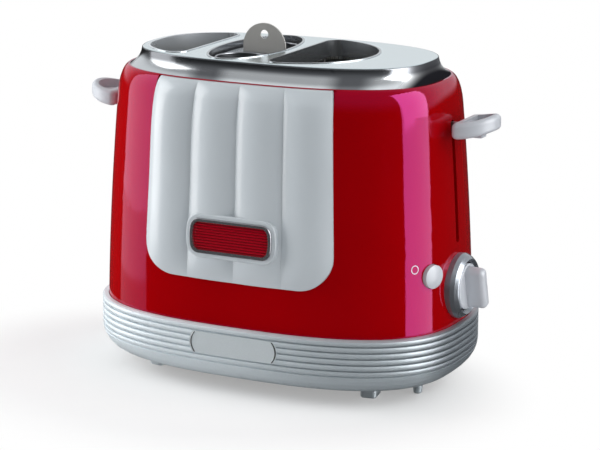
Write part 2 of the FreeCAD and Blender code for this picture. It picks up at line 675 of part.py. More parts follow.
def name_plate_window(margin=0.0):
    """Block round the name plate: between the first and the fifth groove."""
    heights = groove_heights()
    low, high = heights[4] + GROOVE_WIDTH / 2, heights[0] - GROOVE_WIDTH / 2
    low, high = low - margin, high + margin
    end = NAME_PLATE_LENGTH / 2 + margin
    straight = end - NAME_PLATE_BOW
    middle = (low + high) / 2
    outline = Part.Wire([
        Part.makeLine(Vector(-straight, 0, low), Vector(straight, 0, low)),
        Part.Arc(Vector(straight, 0, low), Vector(end, 0, middle), Vector(straight, 0, high)).toShape(),
        Part.makeLine(Vector(straight, 0, high), Vector(-straight, 0, high)),
        Part.Arc(Vector(-straight, 0, high), Vector(-end, 0, middle), Vector(-straight, 0, low)).toShape()])
    block = Part.Face(outline).extrude(Vector(0, -FAR, 0))
    block.translate(Vector(NAME_PLATE_X, 0, 0))
    return block


def tray_window(margin=0.0):
    """Block through the back of the base band that the tray's front fills."""
    return box(TRAY_LEFT_X - margin, TRAY_RIGHT_X + margin, 0, FAR,
               TRAY_Z - 2.0 - margin, TRAY_Z + TRAY_HEIGHT + margin)


def skirt_ring():
    """The base band before any pocket is cut."""
    ring = oval_loft(skirt_outline(), ruled=True).cut(oval_loft(skirt_inside(), ruled=True))
    lip = oval_prism(BODY_FOOT_A + FIT_GAP, BODY_FOOT_A + FIT_GAP - PLAN_INSET, SKIRT_TOP_Z - 10, FAR)
    a = COVER_A + FIT_GAP
    cover_hole = oval_prism(a, a - PLAN_INSET, 0, COVER_TOP_Z)
    inner = COVER_A - COVER_FLANGE_DEPTH
    flange_hole = oval_prism(inner, inner - PLAN_INSET, 0, COVER_TOP_Z + COVER_FLANGE + 1)
    return ring.cut([lip, cover_hole, flange_hole])


def base_skirt(ring):
    depth = SKIRT_A - NAME_PLATE_RECESS
    core = oval_prism(depth, depth - PLAN_INSET, 0, FAR)
    pocket = name_plate_window(0.1).cut(core)
    return ring.cut([pocket, tray_window(FIT_GAP)])


def name_plate():
    """Bare plate set flush in the base band."""
    depth = SKIRT_A - NAME_PLATE_RECESS
    front = SKIRT_A - 0.1
    band = oval_prism(front, front - PLAN_INSET, 0, SKIRT_TOP_Z)
    band = band.cut(oval_prism(depth, depth - PLAN_INSET, -1, FAR))
    return band.common(name_plate_window())


def post_places():
    """Six screw posts: four near the ends and two at the front."""
    x, y = POST_END_XY
    places = [(sx * x, sy * y) for sx in (-1, 1) for sy in (-1, 1)]
    x, y = POST_MIDDLE_XY
    return places + [(-x, -y), (x, -y)]


def quarter_places(xy):
    """The same place in all four quarters, with the signs of x and y."""
    return [(sx * xy[0], sy * xy[1], sx, sy) for sx in (-1, 1) for sy in (-1, 1)]


def bottom_cover():
    """Moulded bottom plate with vents, screw holes and the holes for the feet and the cord's gland."""
    top = COVER_TOP_Z
    cover = oval_prism(COVER_A, COVER_HALF_DEPTH, FOOT_HEIGHT, top)
    holes = [rod(x, y, 0, CHASSIS_Z, SCREW_RADIUS + 0.1) for x, y in post_places()]
    holes += [rod(x, y, 0, FOOT_HEIGHT + SCREW_HEAD_HEIGHT + 1, SCREW_HEAD_RADIUS + 0.3)
              for x, y in post_places()]
    for place in (FOOT_XY, CORD_POST_XY):
        holes += [rod(x, y, 0, top, FOOT_PEG_RADIUS) for x, y, _, _ in quarter_places(place)]
    holes.append(rod(*GLAND_XY, 0, 20, GLAND_RADIUS - 1.2))
    vent = box(-1.0, 1.0, -14, 14, 0, 20)
    for index in range(9):
        slot = vent.copy()
        slot.translate(Vector((index - 4) * 12.0 + (TRAY_LEFT_X + TRAY_RIGHT_X) / 2, 0, 0))
        holes.append(slot)
    return cover.cut(holes)


def cover_posts():
    """Screw posts from the cover up to the chassis, and the rails and guides of the crumb tray."""
    top = COVER_TOP_Z
    head_room = FOOT_HEIGHT + SCREW_HEAD_HEIGHT + 1
    solids = []
    for x, y in post_places():
        post = rod(x, y, top, CHASSIS_Z - SHEET, POST_RADIUS)
        post = post.cut(rod(x, y, 0, CHASSIS_Z, SCREW_RADIUS + 0.1))
        solids.append(post.cut(rod(x, y, 0, head_room, SCREW_HEAD_RADIUS + 0.3)))
    half = RAIL_HALF_LENGTH
    for x in (TRAY_LEFT_X + 12, TRAY_RIGHT_X - 12):
        solids.append(box(x - 1.5, x + 1.5, -half, half, top, TRAY_Z - FIT_GAP))
    for x in (TRAY_LEFT_X - 1 - FIT_GAP, TRAY_RIGHT_X + 1 + FIT_GAP):
        solids.append(box(x - 1, x + 1, -half, half, top, TRAY_Z + 1))
    return Part.Compound(solids)


def base_screws():
    """Six screws driven up through the posts into the chassis."""
    screws = []
    seat = FOOT_HEIGHT + SCREW_HEAD_HEIGHT + 1
    for x, y in post_places():
        head = rod(x, y, seat - SCREW_HEAD_HEIGHT, seat, SCREW_HEAD_RADIUS)
        screws.append(head.fuse(rod(x, y, seat, CHASSIS_Z, SCREW_RADIUS)))
    return Part.Compound(screws)


def feet():
    """Four rubber feet, each with a peg pressed into the cover."""
    solids = []
    for x, y, sx, sy in quarter_places(FOOT_XY):
        pad = box(-FOOT_WIDTH / 2, FOOT_WIDTH / 2, -FOOT_DEPTH / 2, FOOT_DEPTH / 2, 0, FOOT_HEIGHT)
        upright = [edge for edge in pad.Edges if edge.BoundBox.ZLength > FOOT_HEIGHT - 0.01]
        pad = pad.makeFillet(3.0, upright)
        rim = [edge for edge in pad.Edges if edge.BoundBox.ZMax < 0.01]
        pad = pad.makeChamfer(0.8, rim)
        pad = pad.fuse(rod(0, 0, FOOT_HEIGHT - 1, COVER_TOP_Z, FOOT_PEG_RADIUS))
        pad.Placement = Placement(Vector(x, y, 0), Rotation(Z_AXIS, -sx * sy * FOOT_TURN))
        solids.append(pad)
    return Part.Compound(solids)


def cord_posts():
    """Tapered posts under the two ends that the cord is wound round for storage."""
    solids = []
    for x, y, _, _ in quarter_places(CORD_POST_XY):
        cone = Part.makeCone(CORD_POST_RADIUS, CORD_POST_TOP_RADIUS, FOOT_HEIGHT - CORD_POST_CLEARANCE,
                             Vector(x, y, CORD_POST_CLEARANCE), Z_AXIS)
        rim = [edge for edge in cone.Edges if edge.BoundBox.ZMax < CORD_POST_CLEARANCE + 0.01]
        cone = cone.makeFillet(1.0, rim)
        peg = rod(x, y, FOOT_HEIGHT - 1, COVER_TOP_Z, FOOT_PEG_RADIUS)
        solids.append(cone.fuse(peg))
    return Part.Compound(solids)


def cord_gland():
    """Ring in the bottom cover where the supply cord comes out."""
    x, y = GLAND_XY
    low, top = FOOT_HEIGHT, COVER_TOP_Z
    gland = rod(x, y, low, top + 4, GLAND_RADIUS - 1.2).fuse([
        rod(x, y, low - 1.0, low, GLAND_RADIUS), rod(x, y, top, top + 1.2, GLAND_RADIUS)])
    return gland.cut(rod(x, y, 0, 30, GLAND_BORE))


# ---------------------------------------------------------------- chassis, chamber and heaters
def liner_half_length():
    return DECK_A - SHEET - LINER_SHEET - 0.1


def chamber_block(offset, z0, z1):
    """The heating chamber's outline: the deck's oval, cut off by the flat right wall."""
    a = liner_half_length() + offset
    block = oval_prism(a, a - DECK_INSET, z0, z1)
    return block.common(box(-FAR, CHAMBER_RIGHT_X + offset, -FAR, FAR, z0, z1))


def beam_slot(z0, z1):
    """Space along the middle that the beam runs in."""
    return box(-FAR, CHAMBER_RIGHT_X + 12, -BEAM_GAP, BEAM_GAP, z0, z1)


def chassis_plate():
    """Steel plate that carries the body, the chamber and the works, open above the crumb tray."""
    a = SKIRT_A - SKIRT_WALL - FIT_GAP
    plate = oval_prism(a, a - PLAN_INSET, CHASSIS_Z - SHEET, CHASSIS_Z)
    low, high = CHASSIS_Z - 5, CHASSIS_Z + 5
    holes = [slot(-3.0, low, high) for slot in SLOTS]
    end = liner_half_length() + 9.0
    holes.append(box(-end, CHAMBER_RIGHT_X + 9, -BEAM_GAP, BEAM_GAP, low, high))
    holes += [rod(x, y, low, high, SCREW_RADIUS) for x, y in post_places()]
    return plate.cut(holes)


def chamber_liner():
    """Reflector wall round the heating chamber, slotted at both ends for the beam."""
    top = DECK_Z - SHEET - FIT_GAP
    liner = chamber_block(LINER_SHEET, CHASSIS_Z, top).cut(chamber_block(0, CHASSIS_Z - 1, top + 1))
    slot = beam_slot(CHASSIS_Z - 1, RACK_Z + 4)
    return liner.cut(slot)


def board_pair(x, half_depth):
    """Two flat heater boards in one plane across the chamber, with the beam's gap between them."""
    near, far = BEAM_GAP + 2.0, half_depth
    return [box(x, x + HEATER_BOARD, side * far if side < 0 else near, -near if side < 0 else far,
                HEATER_BOTTOM_Z, HEATER_TOP_Z) for side in (-1, 1)]


def chamber_half_depth(x):
    """Half depth of the chamber at x, inside the liner."""
    a = liner_half_length()
    return oval_half_depth_at(x, a, a - DECK_INSET)


def inner_board_x():
    """X of the two flat boards beside the basket."""
    left = (LEFT_SLOT_INNER_X + BASKET_SLOT_X - BASKET_SLOT_HALF_LENGTH) / 2 - HEATER_BOARD / 2
    right = (RIGHT_SLOT_INNER_X + BASKET_SLOT_X + BASKET_SLOT_HALF_LENGTH) / 2 - HEATER_BOARD / 2
    return left, right


def right_board_x():
    return CHAMBER_RIGHT_X - HEATER_BOARD - 3.0


def ribbon_heights():
    step = (HEATER_TOP_Z - HEATER_BOTTOM_Z) / (RIBBON_COUNT + 1)
    return [HEATER_BOTTOM_Z + step * (index + 1) for index in range(RIBBON_COUNT)]


def flat_boards(x):
    """A pair of boards that ends just inside the chamber's curved wall."""
    outer_x = max(abs(x), abs(x + HEATER_BOARD))
    return Part.Compound(board_pair(x, chamber_half_depth(outer_x) - FIT_GAP))


def curved_board_block(inner, outer, z0, z1):
    """Part of an oval ring along the chamber's left end, with a gap for the beam."""
    a = liner_half_length()
    ring = oval_prism(a - outer, a - outer - DECK_INSET, z0, z1)
    ring = ring.cut(oval_prism(a - inner, a - inner - DECK_INSET, z0 - 1, z1 + 1))
    ring = ring.common(box(-FAR, LEFT_SLOT_INNER_X - 8, -FAR, FAR, z0, z1))
    return ring.cut(beam_slot(z0 - 1, z1 + 1))


def left_outer_heater():
    return curved_board_block(FIT_GAP + 0.8, FIT_GAP, HEATER_BOTTOM_Z, HEATER_TOP_Z)


def ribbon_row(x, half_depth, z):
    """One heating ribbon on each of a pair of boards, on the side at x."""
    near = BEAM_GAP + 4.0
    return [box(x, x + HEATER_RIBBON, near, half_depth, z, z + RIBBON_HEIGHT),
            box(x, x + HEATER_RIBBON, -half_depth, -near, z, z + RIBBON_HEIGHT)]


def heating_ribbons():
    """Flat resistance ribbons across every board."""
    solids = []
    left_x, right_x = inner_board_x()
    faces = [left_x - HEATER_RIBBON, right_x + HEATER_BOARD, right_board_x() - HEATER_RIBBON]
    for z in ribbon_heights():
        for x in faces:
            solids += ribbon_row(x, chamber_half_depth(x) - 3.0, z)
    return Part.Compound(solids)


def guard_hoops(slot):
    """Two wire hoops round one bun opening: under its collar, and on the chassis."""
    width = 2 * GUARD_WIRE
    hoops = []
    for low in (CHASSIS_Z, guard_top() - width):
        hoops.append(slot(width, low, low + width).cut(slot(0, low - 1, low + width + 1)))
    hoops[0] = hoops[0].cut(beam_slot(0, FAR))
    return Part.Compound(hoops)


def guard_wires(flat_x, side):
    """Upright wires between the two hoops that keep the bun off the heaters."""
    width = 2 * GUARD_WIRE
    half_depth = RIGHT_SLOT_HALF_DEPTH if side > 0 else DECK_A - OPENING_RIM - DECK_INSET
    wires = []
    for share in (-0.78, -0.5, -0.22, 0.22, 0.5, 0.78):
        y = share * half_depth
        for x in (flat_x, guard_outer_x(side, y)):
            wires.append(rod(x, y, CHASSIS_Z + width, guard_top() - width, GUARD_WIRE))
    return Part.Compound(wires)


def guard_top():
    return DECK_Z - COLLAR_DEPTH - 0.2


def guard_outer_x(side, y):
    """X of the middle of the hoop's curved side at y."""
    if side > 0:
        reach, half = RIGHT_SLOT_LENGTH + GUARD_WIRE, RIGHT_SLOT_HALF_DEPTH + GUARD_WIRE
        return RIGHT_SLOT_INNER_X + reach * math.sqrt(1 - (y / half) ** 2)
    a = DECK_A - OPENING_RIM + GUARD_WIRE
    b = a - DECK_INSET
    return -a * (1 - (abs(y) / b) ** PLAN_POWER) ** (1 / PLAN_POWER)


# ---------------------------------------------------------------- guide rods and lift springs
def rod_x(side):
    """X of the guide rods at one end, outside the chamber."""
    if side > 0:
        return CHAMBER_RIGHT_X + LINER_SHEET + 10.0
    return -(liner_half_length() + LINER_SHEET + 9.0)


def guide_rods():
    return Part.Compound([rod(rod_x(side), way * ROD_SPREAD, CHASSIS_Z, ROD_TOP_Z, ROD_RADIUS)
                          for side in (-1, 1) for way in (-1, 1)])


def rod_brackets():
    """Steel brackets from the chamber wall that hold the rods' upper ends and the springs."""
    solids = []
    a = body_half_length(ROD_TOP_Z) - BODY_WALL - 0.5
    room = oval_prism(a, a - PLAN_INSET, 0, FAR)
    for side in (-1, 1):
        wall = CHAMBER_RIGHT_X + LINER_SHEET if side > 0 else -(liner_half_length() + LINER_SHEET)
        outer = rod_x(side) + side * 5.0
        low, high = sorted((wall - side * 3.0, outer))
        plate = box(low, high, -SPRING_Y - 6, SPRING_Y + 6, ROD_TOP_Z - 2.0, ROD_TOP_Z)
        plate = plate.cut(chamber_block(LINER_SHEET, 0, FAR)).common(room)
        holes = [rod(rod_x(side), way * ROD_SPREAD, 0, FAR, ROD_RADIUS) for way in (-1, 1)]
        solids.append(plate.cut(holes))
    return Part.Compound(solids)


def spring_top():
    return ROD_TOP_Z - 2.0


def lift_springs():
    """The two coil springs that pull the carriage up, each as a sleeve of its outer shape."""
    solids = []
    for side in (-1, 1):
        x, y = rod_x(side), SPRING_Y
        low = spring_top() - SPRING_LENGTH
        outer = rod(x, y, low, spring_top(), SPRING_RADIUS)
        solids.append(outer.cut(rod(x, y, low - 1, spring_top() + 1, SPRING_RADIUS - SPRING_WALL)))
    return Part.Compound(solids)


# ---------------------------------------------------------------- carriage
def plate_x(side):
    """Inner face of the carriage's end plate."""
    if side > 0:
        return CHAMBER_RIGHT_X + LINER_SHEET + 2.0
    return -(liner_half_length() + LINER_SHEET + 2.0)


def carriage_frame():
    """Beam under the racks, with an upright plate at each end that slides on the guide rods."""
    beam_top = RACK_Z - SEAT_THICKNESS
    beam_low = beam_top - BEAM_HEIGHT
    half = BEAM_THICKNESS / 2
    pieces = [box(plate_x(-1) - END_PLATE, plate_x(1) + END_PLATE, -half, half, beam_low, beam_top)]
    arm_high = LEVER_Z + ARM_HEIGHT / 2
    plate_low = beam_top + 1.0
    ear_low, ear_high = plate_low + 8.0, arm_high - 3.0
    for side in (-1, 1):
        near, far = sorted((plate_x(side), plate_x(side) + side * END_PLATE))
        pieces.append(box(near, far, -END_PLATE_HALF_WIDTH, END_PLATE_HALF_WIDTH, plate_low, arm_high))
        pieces.append(box(near, far, -half, half, beam_low, plate_low + 1))
        ear_near, ear_far = sorted((plate_x(side), rod_x(side) + side * 4.5))
        for z in (ear_low, ear_high):
            pieces.append(box(ear_near, ear_far, -ROD_SPREAD - 5, -ARM_THICKNESS / 2, z, z + 3))
            pieces.append(box(ear_near, ear_far, ARM_THICKNESS / 2, ROD_SPREAD + 5, z, z + 3))
        hook_z = spring_top() - SPRING_LENGTH
        hook_near, hook_far = sorted((plate_x(side), rod_x(side) + side * 4.0))
        pieces.append(box(hook_near, hook_far, ROD_SPREAD, SPRING_Y + 4, hook_z - 1.6, hook_z))
    frame = fused(pieces)
    bores = [rod(rod_x(side), way * ROD_SPREAD, 0, FAR, ROD_RADIUS + ROD_CLEARANCE)
             for side in (-1, 1) for way in (-1, 1)]
    return frame.cut(bores)


def lever_arms():
    """Flat arms from the end plates out through the slots into the levers."""
    arms = []
    for side in (-1, 1):
        near, far = sorted((plate_x(side) + side * END_PLATE, side * (LEVER_ROOT_X + ARM_REACH)))
        arms.append(box(near, far, -ARM_THICKNESS / 2, ARM_THICKNESS / 2,
                        LEVER_Z - ARM_HEIGHT / 2, LEVER_Z + ARM_HEIGHT / 2))
    return Part.Compound(arms)


def wire_between(start, end, radius):
    line = end.sub(start)
    return Part.makeCylinder(radius, line.Length, start, line)


def bun_rack(columns, half_depth_at):
    """Rack of cross wires on the beam, tied by two long wires."""
    z = RACK_Z - SEAT_THICKNESS + RACK_WIRE
    wires = []
    reach = min(half_depth_at(x) for x in columns) - 2 * RACK_WIRE
    for x in columns:
        half = half_depth_at(x)
        wires.append(wire_between(Vector(x, -half, z), Vector(x, half, z), RACK_WIRE))
    for y in (-reach, reach):
        wires.append(wire_between(Vector(columns[0], y, z), Vector(columns[-1], y, z), RACK_WIRE * 0.8))
    return fused(wires)


def left_bun_rack():
    a = DECK_A - OPENING_RIM
    columns = spaced(-a + 8.0, LEFT_SLOT_INNER_X - RACK_MARGIN, 4)
    return bun_rack(columns, lambda x: oval_half_depth_at(x, a, a - DECK_INSET) - RACK_MARGIN)


def right_bun_rack():
    def half_depth(x):
        share = (x - RIGHT_SLOT_INNER_X) / RIGHT_SLOT_LENGTH
        return RIGHT_SLOT_HALF_DEPTH * math.sqrt(1 - share * share) - RACK_MARGIN
    end = RIGHT_SLOT_INNER_X + RIGHT_SLOT_LENGTH - 10.0
    return bun_rack(spaced(RIGHT_SLOT_INNER_X + RACK_MARGIN, end, 5), half_depth)


def basket_seat():
    """Plate on the beam that the basket stands on, with a crumb hole under each well."""
    half_y = WELL_SPREAD + WELL_RADIUS
    seat = box(BASKET_X - 15, BASKET_X + 15, -half_y, half_y, RACK_Z - SEAT_THICKNESS, RACK_Z)
    corners = [edge for edge in seat.Edges if edge.BoundBox.ZLength > SEAT_THICKNESS - 0.01]
    seat = seat.makeFillet(8.0, corners)
    return seat.cut([rod(BASKET_X, way * WELL_SPREAD, 0, FAR, WELL_RADIUS * 0.45) for way in (-1, 1)])


def armature_z():
    """Underside of the armature with the levers up."""
    return RACK_Z + ARMATURE_RISE


def armature():
    """Soft iron plate on the carriage that the magnet holds when the levers are down."""
    y0, y1 = MAGNET_Y
    z = armature_z()
    inner = plate_x(1) + END_PLATE
    return box(inner, MAGNET_X[1], y0, y1, z, z + ARMATURE_THICKNESS).fuse(
        box(inner, inner + 3, y1 - 1, -END_PLATE_HALF_WIDTH + 8, z, z + ARMATURE_THICKNESS))


def holding_magnet():
    """U-shaped core with a coil on each leg, standing on the chassis."""
    x0, x1 = MAGNET_X
    y0, y1 = MAGNET_Y
    top = armature_z() - CARRIAGE_TRAVEL - FIT_GAP
    core = box(x0, x1, y0, y1, CHASSIS_Z, top)
    middle = (y0 + y1) / 2
    core = core.cut(box(x0 - 1, x1 + 1, middle - 2, middle + 2, CHASSIS_Z + 6, top + 1))
    coil = box(x0 - 2, x1 + 2, y0 - 2, y1 + 2, CHASSIS_Z + 7, top - 5)
    edges = [edge for edge in coil.Edges if edge.BoundBox.ZLength > 5]
    coil = coil.makeFillet(2.0, edges)
    return core.fuse(coil.cut(box(x0 - 5, x1 + 5, middle - 0.6, middle + 0.6, 0, FAR)))


# ---------------------------------------------------------------- levers
def lever_outline(margin, z0, z1):
    """Half-moon plan of the lever, straight against the body and round outside."""
    root, tip, half = LEVER_ROOT_X + margin, LEVER_TIP_X - margin, LEVER_HALF_WIDTH - margin
    shoulder = root + 5.0
    points = [Vector(root, -half, z0), Vector(shoulder, -half, z0), Vector(tip, 0, z0),
              Vector(shoulder, half, z0), Vector(root, half, z0)]
    ellipse = Part.Ellipse(Vector(shoulder, 0, z0), max(tip - shoulder, half), min(tip - shoulder, half))
    if half > tip - shoulder:
        ellipse.rotate(Placement(Vector(shoulder, 0, z0), Rotation(Z_AXIS, 90), Vector(0, 0, 0)))
    disc = Part.Face(Part.Wire([ellipse.toShape()])).extrude(Vector(0, 0, z1 - z0))
    disc = disc.common(box(shoulder, FAR, -FAR, FAR, z0, z1))
    return disc.fuse(box(root, shoulder, points[0].y, points[3].y, z0, z1)).removeSplitter()


def lever_curve_block(low, high):
    """Block between two upswept curves, low and high above the lever's underside."""
    bottom = LEVER_Z - LEVER_THICKNESS / 2 + 1.0
    middle_x = (LEVER_ROOT_X + LEVER_TIP_X) / 2

    def upsweep(lift):
        start = Vector(LEVER_ROOT_X - 3, -FAR / 2, bottom + lift)
        middle = Vector(middle_x, -FAR / 2, bottom + lift + LEVER_RISE * 0.25)
        end = Vector(LEVER_TIP_X + 3, -FAR / 2, bottom + lift + LEVER_RISE)
        return start, middle, end

    a0, a1, a2 = upsweep(low)
    b0, b1, b2 = upsweep(high)
    outline = Part.Wire([Part.Arc(a0, a1, a2).toShape(), Part.makeLine(a2, b2),
                         Part.Arc(b2, b1, b0).toShape(), Part.makeLine(b0, a0)])
    return Part.Face(outline).extrude(Vector(0, FAR, 0))


def lever():
    """Right lever: a half-moon with an upswept tip and a shallow dish on top."""
    z0, z1 = LEVER_Z - LEVER_LENGTH, LEVER_Z + LEVER_LENGTH
    plan = lever_outline(0, z0, z1)
    corners = [edge for edge in plan.Edges
               if edge.BoundBox.ZLength > z1 - z0 - 0.01 and edge.BoundBox.XMax < LEVER_ROOT_X + 0.01]
    plan = plan.makeFillet(LEVER_CORNER, corners)
    body = plan.common(lever_curve_block(0, LEVER_THICKNESS))
    outer_edges = [edge for edge in body.Edges if edge.BoundBox.XMax > LEVER_ROOT_X + 0.5
                   and edge.BoundBox.YLength + edge.BoundBox.XLength > LEVER_CORNER / 2]
    body = body.makeFillet(LEVER_ROUND, outer_edges)
    dish = lever_outline(LEVER_RIM, z0, z1).common(lever_curve_block(LEVER_FLOOR, LEVER_THICKNESS + 9))
    body = body.cut(dish)
    half = ARM_HEIGHT / 2
    side = ARM_THICKNESS / 2
    pocket = box(0, LEVER_ROOT_X + ARM_REACH, -side, side, LEVER_Z - half, LEVER_Z + half)
    boss = box(LEVER_ROOT_X, LEVER_ROOT_X + ARM_REACH + 3.0, -side - 3, side + 3,
               LEVER_Z - half - 1, LEVER_Z + half + 1)
    boss = boss.common(lever_outline(0, z0, z1))
    return body.fuse(boss).cut(pocket)


# ---------------------------------------------------------------- basket
def well_places():
    return [(BASKET_X, -WELL_SPREAD), (BASKET_X, WELL_SPREAD)]


def basket_top_z():
    return BASKET_PLATE_Z + BASKET_SHEET


def basket_plate():
    """Elliptical plate with a hole for each well."""
    block = ellipse_block(BASKET_X, BASKET_HALF_LENGTH, BASKET_HALF_DEPTH, BASKET_PLATE_Z, basket_top_z())
    return block.cut([rod(x, y, 0, FAR, WELL_RADIUS) for x, y in well_places()])


def basket_tab():
    """Half-round grip tab that stands on the plate between the wells."""
    radius = TAB_WIDTH / 2
    centre_z = basket_top_z() + TAB_HEIGHT - radius
    half = BASKET_SHEET / 2
    tab = Part.makeCylinder(radius, BASKET_SHEET, Vector(TAB_X, TAB_Y - half, centre_z), Y_AXIS)
    tab = tab.common(box(-FAR, FAR, -FAR, FAR, centre_z, FAR))
    foot = box(TAB_X - radius, TAB_X + radius, TAB_Y - half, TAB_Y + half, basket_top_z(), centre_z)
    hole = Part.makeCylinder(TAB_HOLE_RADIUS, 20, Vector(TAB_X, TAB_Y - 10, centre_z + TAB_HOLE_RISE),
                             Y_AXIS)
    return tab.fuse(foot).cut(hole)


def sausage_wells():
    """Two windowed tubes that hold the sausages upright."""
    solids = []
    low, high = RACK_Z + FIT_GAP, basket_top_z() + 0.8
    for x, y in well_places():
        tube = rod(x, y, low, high, WELL_RADIUS)
        tube = tube.cut(rod(x, y, low + 1.2, high + 1, WELL_RADIUS - WELL_WALL))
        tube = tube.cut(rod(x, y, low - 1, low + 5, WELL_RADIUS * 0.4))
        window = box(0, WELL_RADIUS + 5, -3.6, 3.6, low + 12, BASKET_PLATE_Z - 12)
        windows = []
        for index in range(WELL_WINDOWS):
            cut = window.copy()
            cut.Placement = Placement(Vector(x, y, 0), Rotation(Z_AXIS, 360.0 * index / WELL_WINDOWS))
            windows.append(cut)
        rim = Part.makeTorus(WELL_RADIUS - WELL_WALL / 2 + 0.2, 0.9, Vector(x, y, high), Z_AXIS)
        solids.append(tube.cut(windows).fuse(rim))
    return Part.Compound(solids)


# ---------------------------------------------------------------- control end
def dial_ring(outside):
    """Stepped silver ring round the knob, seated on the curved body."""
    inner = KNOB_RADIUS + 0.8
    profile = [(BOARD_X, RING_RADIUS), (RING_FRONT_X - 5.5, RING_RADIUS), (RING_FRONT_X - 2.6, RING_RADIUS - 1.4),
               (RING_FRONT_X - 0.4, RING_RADIUS - 3.3), (RING_FRONT_X, RING_RADIUS - 3.8),
               (RING_FRONT_X - 0.5, RING_RADIUS - 4.3), (RING_FRONT_X - 2.6, inner), (BOARD_X, inner)]
    points = [Vector(x, 0, KNOB_Z + r) for x, r in profile]
    face = Part.Face(Part.makePolygon(points + points[:1]))
    ring = face.revolve(Vector(0, 0, KNOB_Z), X_AXIS, 360)
    return ring.cut(outside)


def timer_knob():
    """White disc with an upright wing grip and a hub that takes the timer's shaft."""
    disc = Part.makeCylinder(KNOB_RADIUS, KNOB_FACE_X - KNOB_BACK_X, Vector(KNOB_BACK_X, 0, 0), X_AXIS)
    front = [edge for edge in disc.Edges if edge.BoundBox.XMin > KNOB_FACE_X - 0.01]
    disc = disc.makeFillet(1.2, front)
    half = KNOB_RADIUS - 1.0
    wing = box(KNOB_FACE_X - 1, KNOB_TIP_X, -KNOB_WING_THICKNESS / 2, KNOB_WING_THICKNESS / 2, -half, half)
    outer = [edge for edge in wing.Edges
             if edge.BoundBox.XMin > KNOB_TIP_X - 0.01 or edge.BoundBox.XLength > 5]
    wing = wing.makeFillet(KNOB_WING_ROUND, outer)
    hub = Part.makeCylinder(KNOB_HUB_RADIUS, 6.0, Vector(KNOB_BACK_X - 5.0, 0, 0), X_AXIS)
    bore = Part.makeCylinder(SHAFT_RADIUS, 12.0, Vector(KNOB_BACK_X - 10, 0, 0), X_AXIS)
    knob = disc.fuse([wing, hub]).cut(bore)
    knob.Placement = Placement(Vector(0, 0, KNOB_Z), Rotation(X_AXIS, KNOB_TURN))
    return knob


def timer_inner_x():
    return BOARD_X + BOARD_THICKNESS


def timer_shaft():
    start = timer_inner_x() + 3.0
    return Part.makeCylinder(SHAFT_RADIUS, KNOB_BACK_X + 2.0 - start, Vector(start, 0, KNOB_Z), X_AXIS)


def timer_body():
    """Case of the timer on the control board, with a bushing round the shaft."""
    x0 = timer_inner_x()
    x1 = x0 + TIMER_DEPTH
    half = TIMER_SIZE / 2
    case = box(x0, x1, -half, half, KNOB_Z - half, KNOB_Z + half)
    edges = [edge for edge in case.Edges if edge.BoundBox.XMin > x1 - 0.01]
    case = case.makeChamfer(1.5, edges)
    bushing = Part.makeCylinder(SHAFT_RADIUS + 1.5, BUSHING_LENGTH, Vector(x1, 0, KNOB_Z), X_AXIS)
    bore = Part.makeCylinder(SHAFT_RADIUS + SHAFT_CLEARANCE, FAR, Vector(x0 + 3.0 - 0.1, 0, KNOB_Z), X_AXIS)
    return case.fuse(bushing).cut(bore)


def control_board():
    """Circuit board standing on the chassis, with its larger components."""
    front = timer_inner_x()
    board = box(BOARD_X, front, -BOARD_HALF_WIDTH, BOARD_HALF_WIDTH, CHASSIS_Z, BOARD_TOP_Z)
    deep, wide, tall = RELAY_SIZE
    low = CHASSIS_Z + RELAY_RISE
    relay = box(front, front + deep, RELAY_Y - wide / 2, RELAY_Y + wide / 2, low, low + tall)
    drum = Part.makeCylinder(DRUM_RADIUS, deep, Vector(front, RELAY_Y, CHASSIS_Z + DRUM_RISE), X_AXIS)
    return fused([board, relay, drum])


def button_frame(shape):
    """Move a shape drawn along +Z onto the button's axis, with +Z pointing out of the wall."""
    point, normal = button_place()
    shape = shape.copy()
    shape.Placement = Placement(point, Rotation(Z_AXIS, normal))
    return shape


def stop_button():
    """Domed cap, a flange behind the wall that keeps it in, and a stem to the switch."""
    edge = BUTTON_PROUD - 1.8
    cap = Part.makeCylinder(BUTTON_RADIUS, edge + BUTTON_FLANGE_BACK, Vector(0, 0, -BUTTON_FLANGE_BACK))
    sphere_radius = (BUTTON_RADIUS ** 2 + 1.8 ** 2) / (2 * 1.8)
    dome = Part.makeSphere(sphere_radius, Vector(0, 0, BUTTON_PROUD - sphere_radius))
    dome = dome.common(Part.makeCylinder(BUTTON_RADIUS, 5, Vector(0, 0, edge)))
    flange = Part.makeCylinder(BUTTON_RADIUS + 1.6, 1.2, Vector(0, 0, -BUTTON_FLANGE_BACK))
    stem = Part.makeCylinder(STEM_RADIUS, STEM_LENGTH - BUTTON_FLANGE_BACK + 0.5, Vector(0, 0, -STEM_LENGTH))
    return button_frame(fused([cap, dome, flange, stem]))


def button_guide(inside):
    """Cup on the inside of the wall that guides the button's stem."""
    outer, inner = BUTTON_RADIUS + 4.0, BUTTON_RADIUS + 2.4
    depth = BUTTON_FLANGE_BACK + BUTTON_TRAVEL + 3.5
    cup = Part.makeCylinder(outer, depth, Vector(0, 0, -depth))
    cup = cup.cut(Part.makeCylinder(inner, depth, Vector(0, 0, -depth + 2.0)))
    bore = Part.makeCylinder(STEM_RADIUS + SHAFT_CLEARANCE, 40, Vector(0, 0, -30))
    return button_frame(cup.cut(bore)).common(inside)


def stop_switch():
    """Push switch on the board behind the button's stem."""
    point, normal = button_place()
    front, x0 = plunger_x(), timer_inner_x()
    y = point.y + (point.x - front) * -normal.y / normal.x
    case = box(x0, front - PLUNGER_LENGTH, y - 4, y + 4, BUTTON_Z - 4, BUTTON_Z + 4)
    plunger = Part.makeCylinder(2.0, PLUNGER_LENGTH, Vector(front - PLUNGER_LENGTH, y, BUTTON_Z), X_AXIS)
    return case.fuse(plunger)


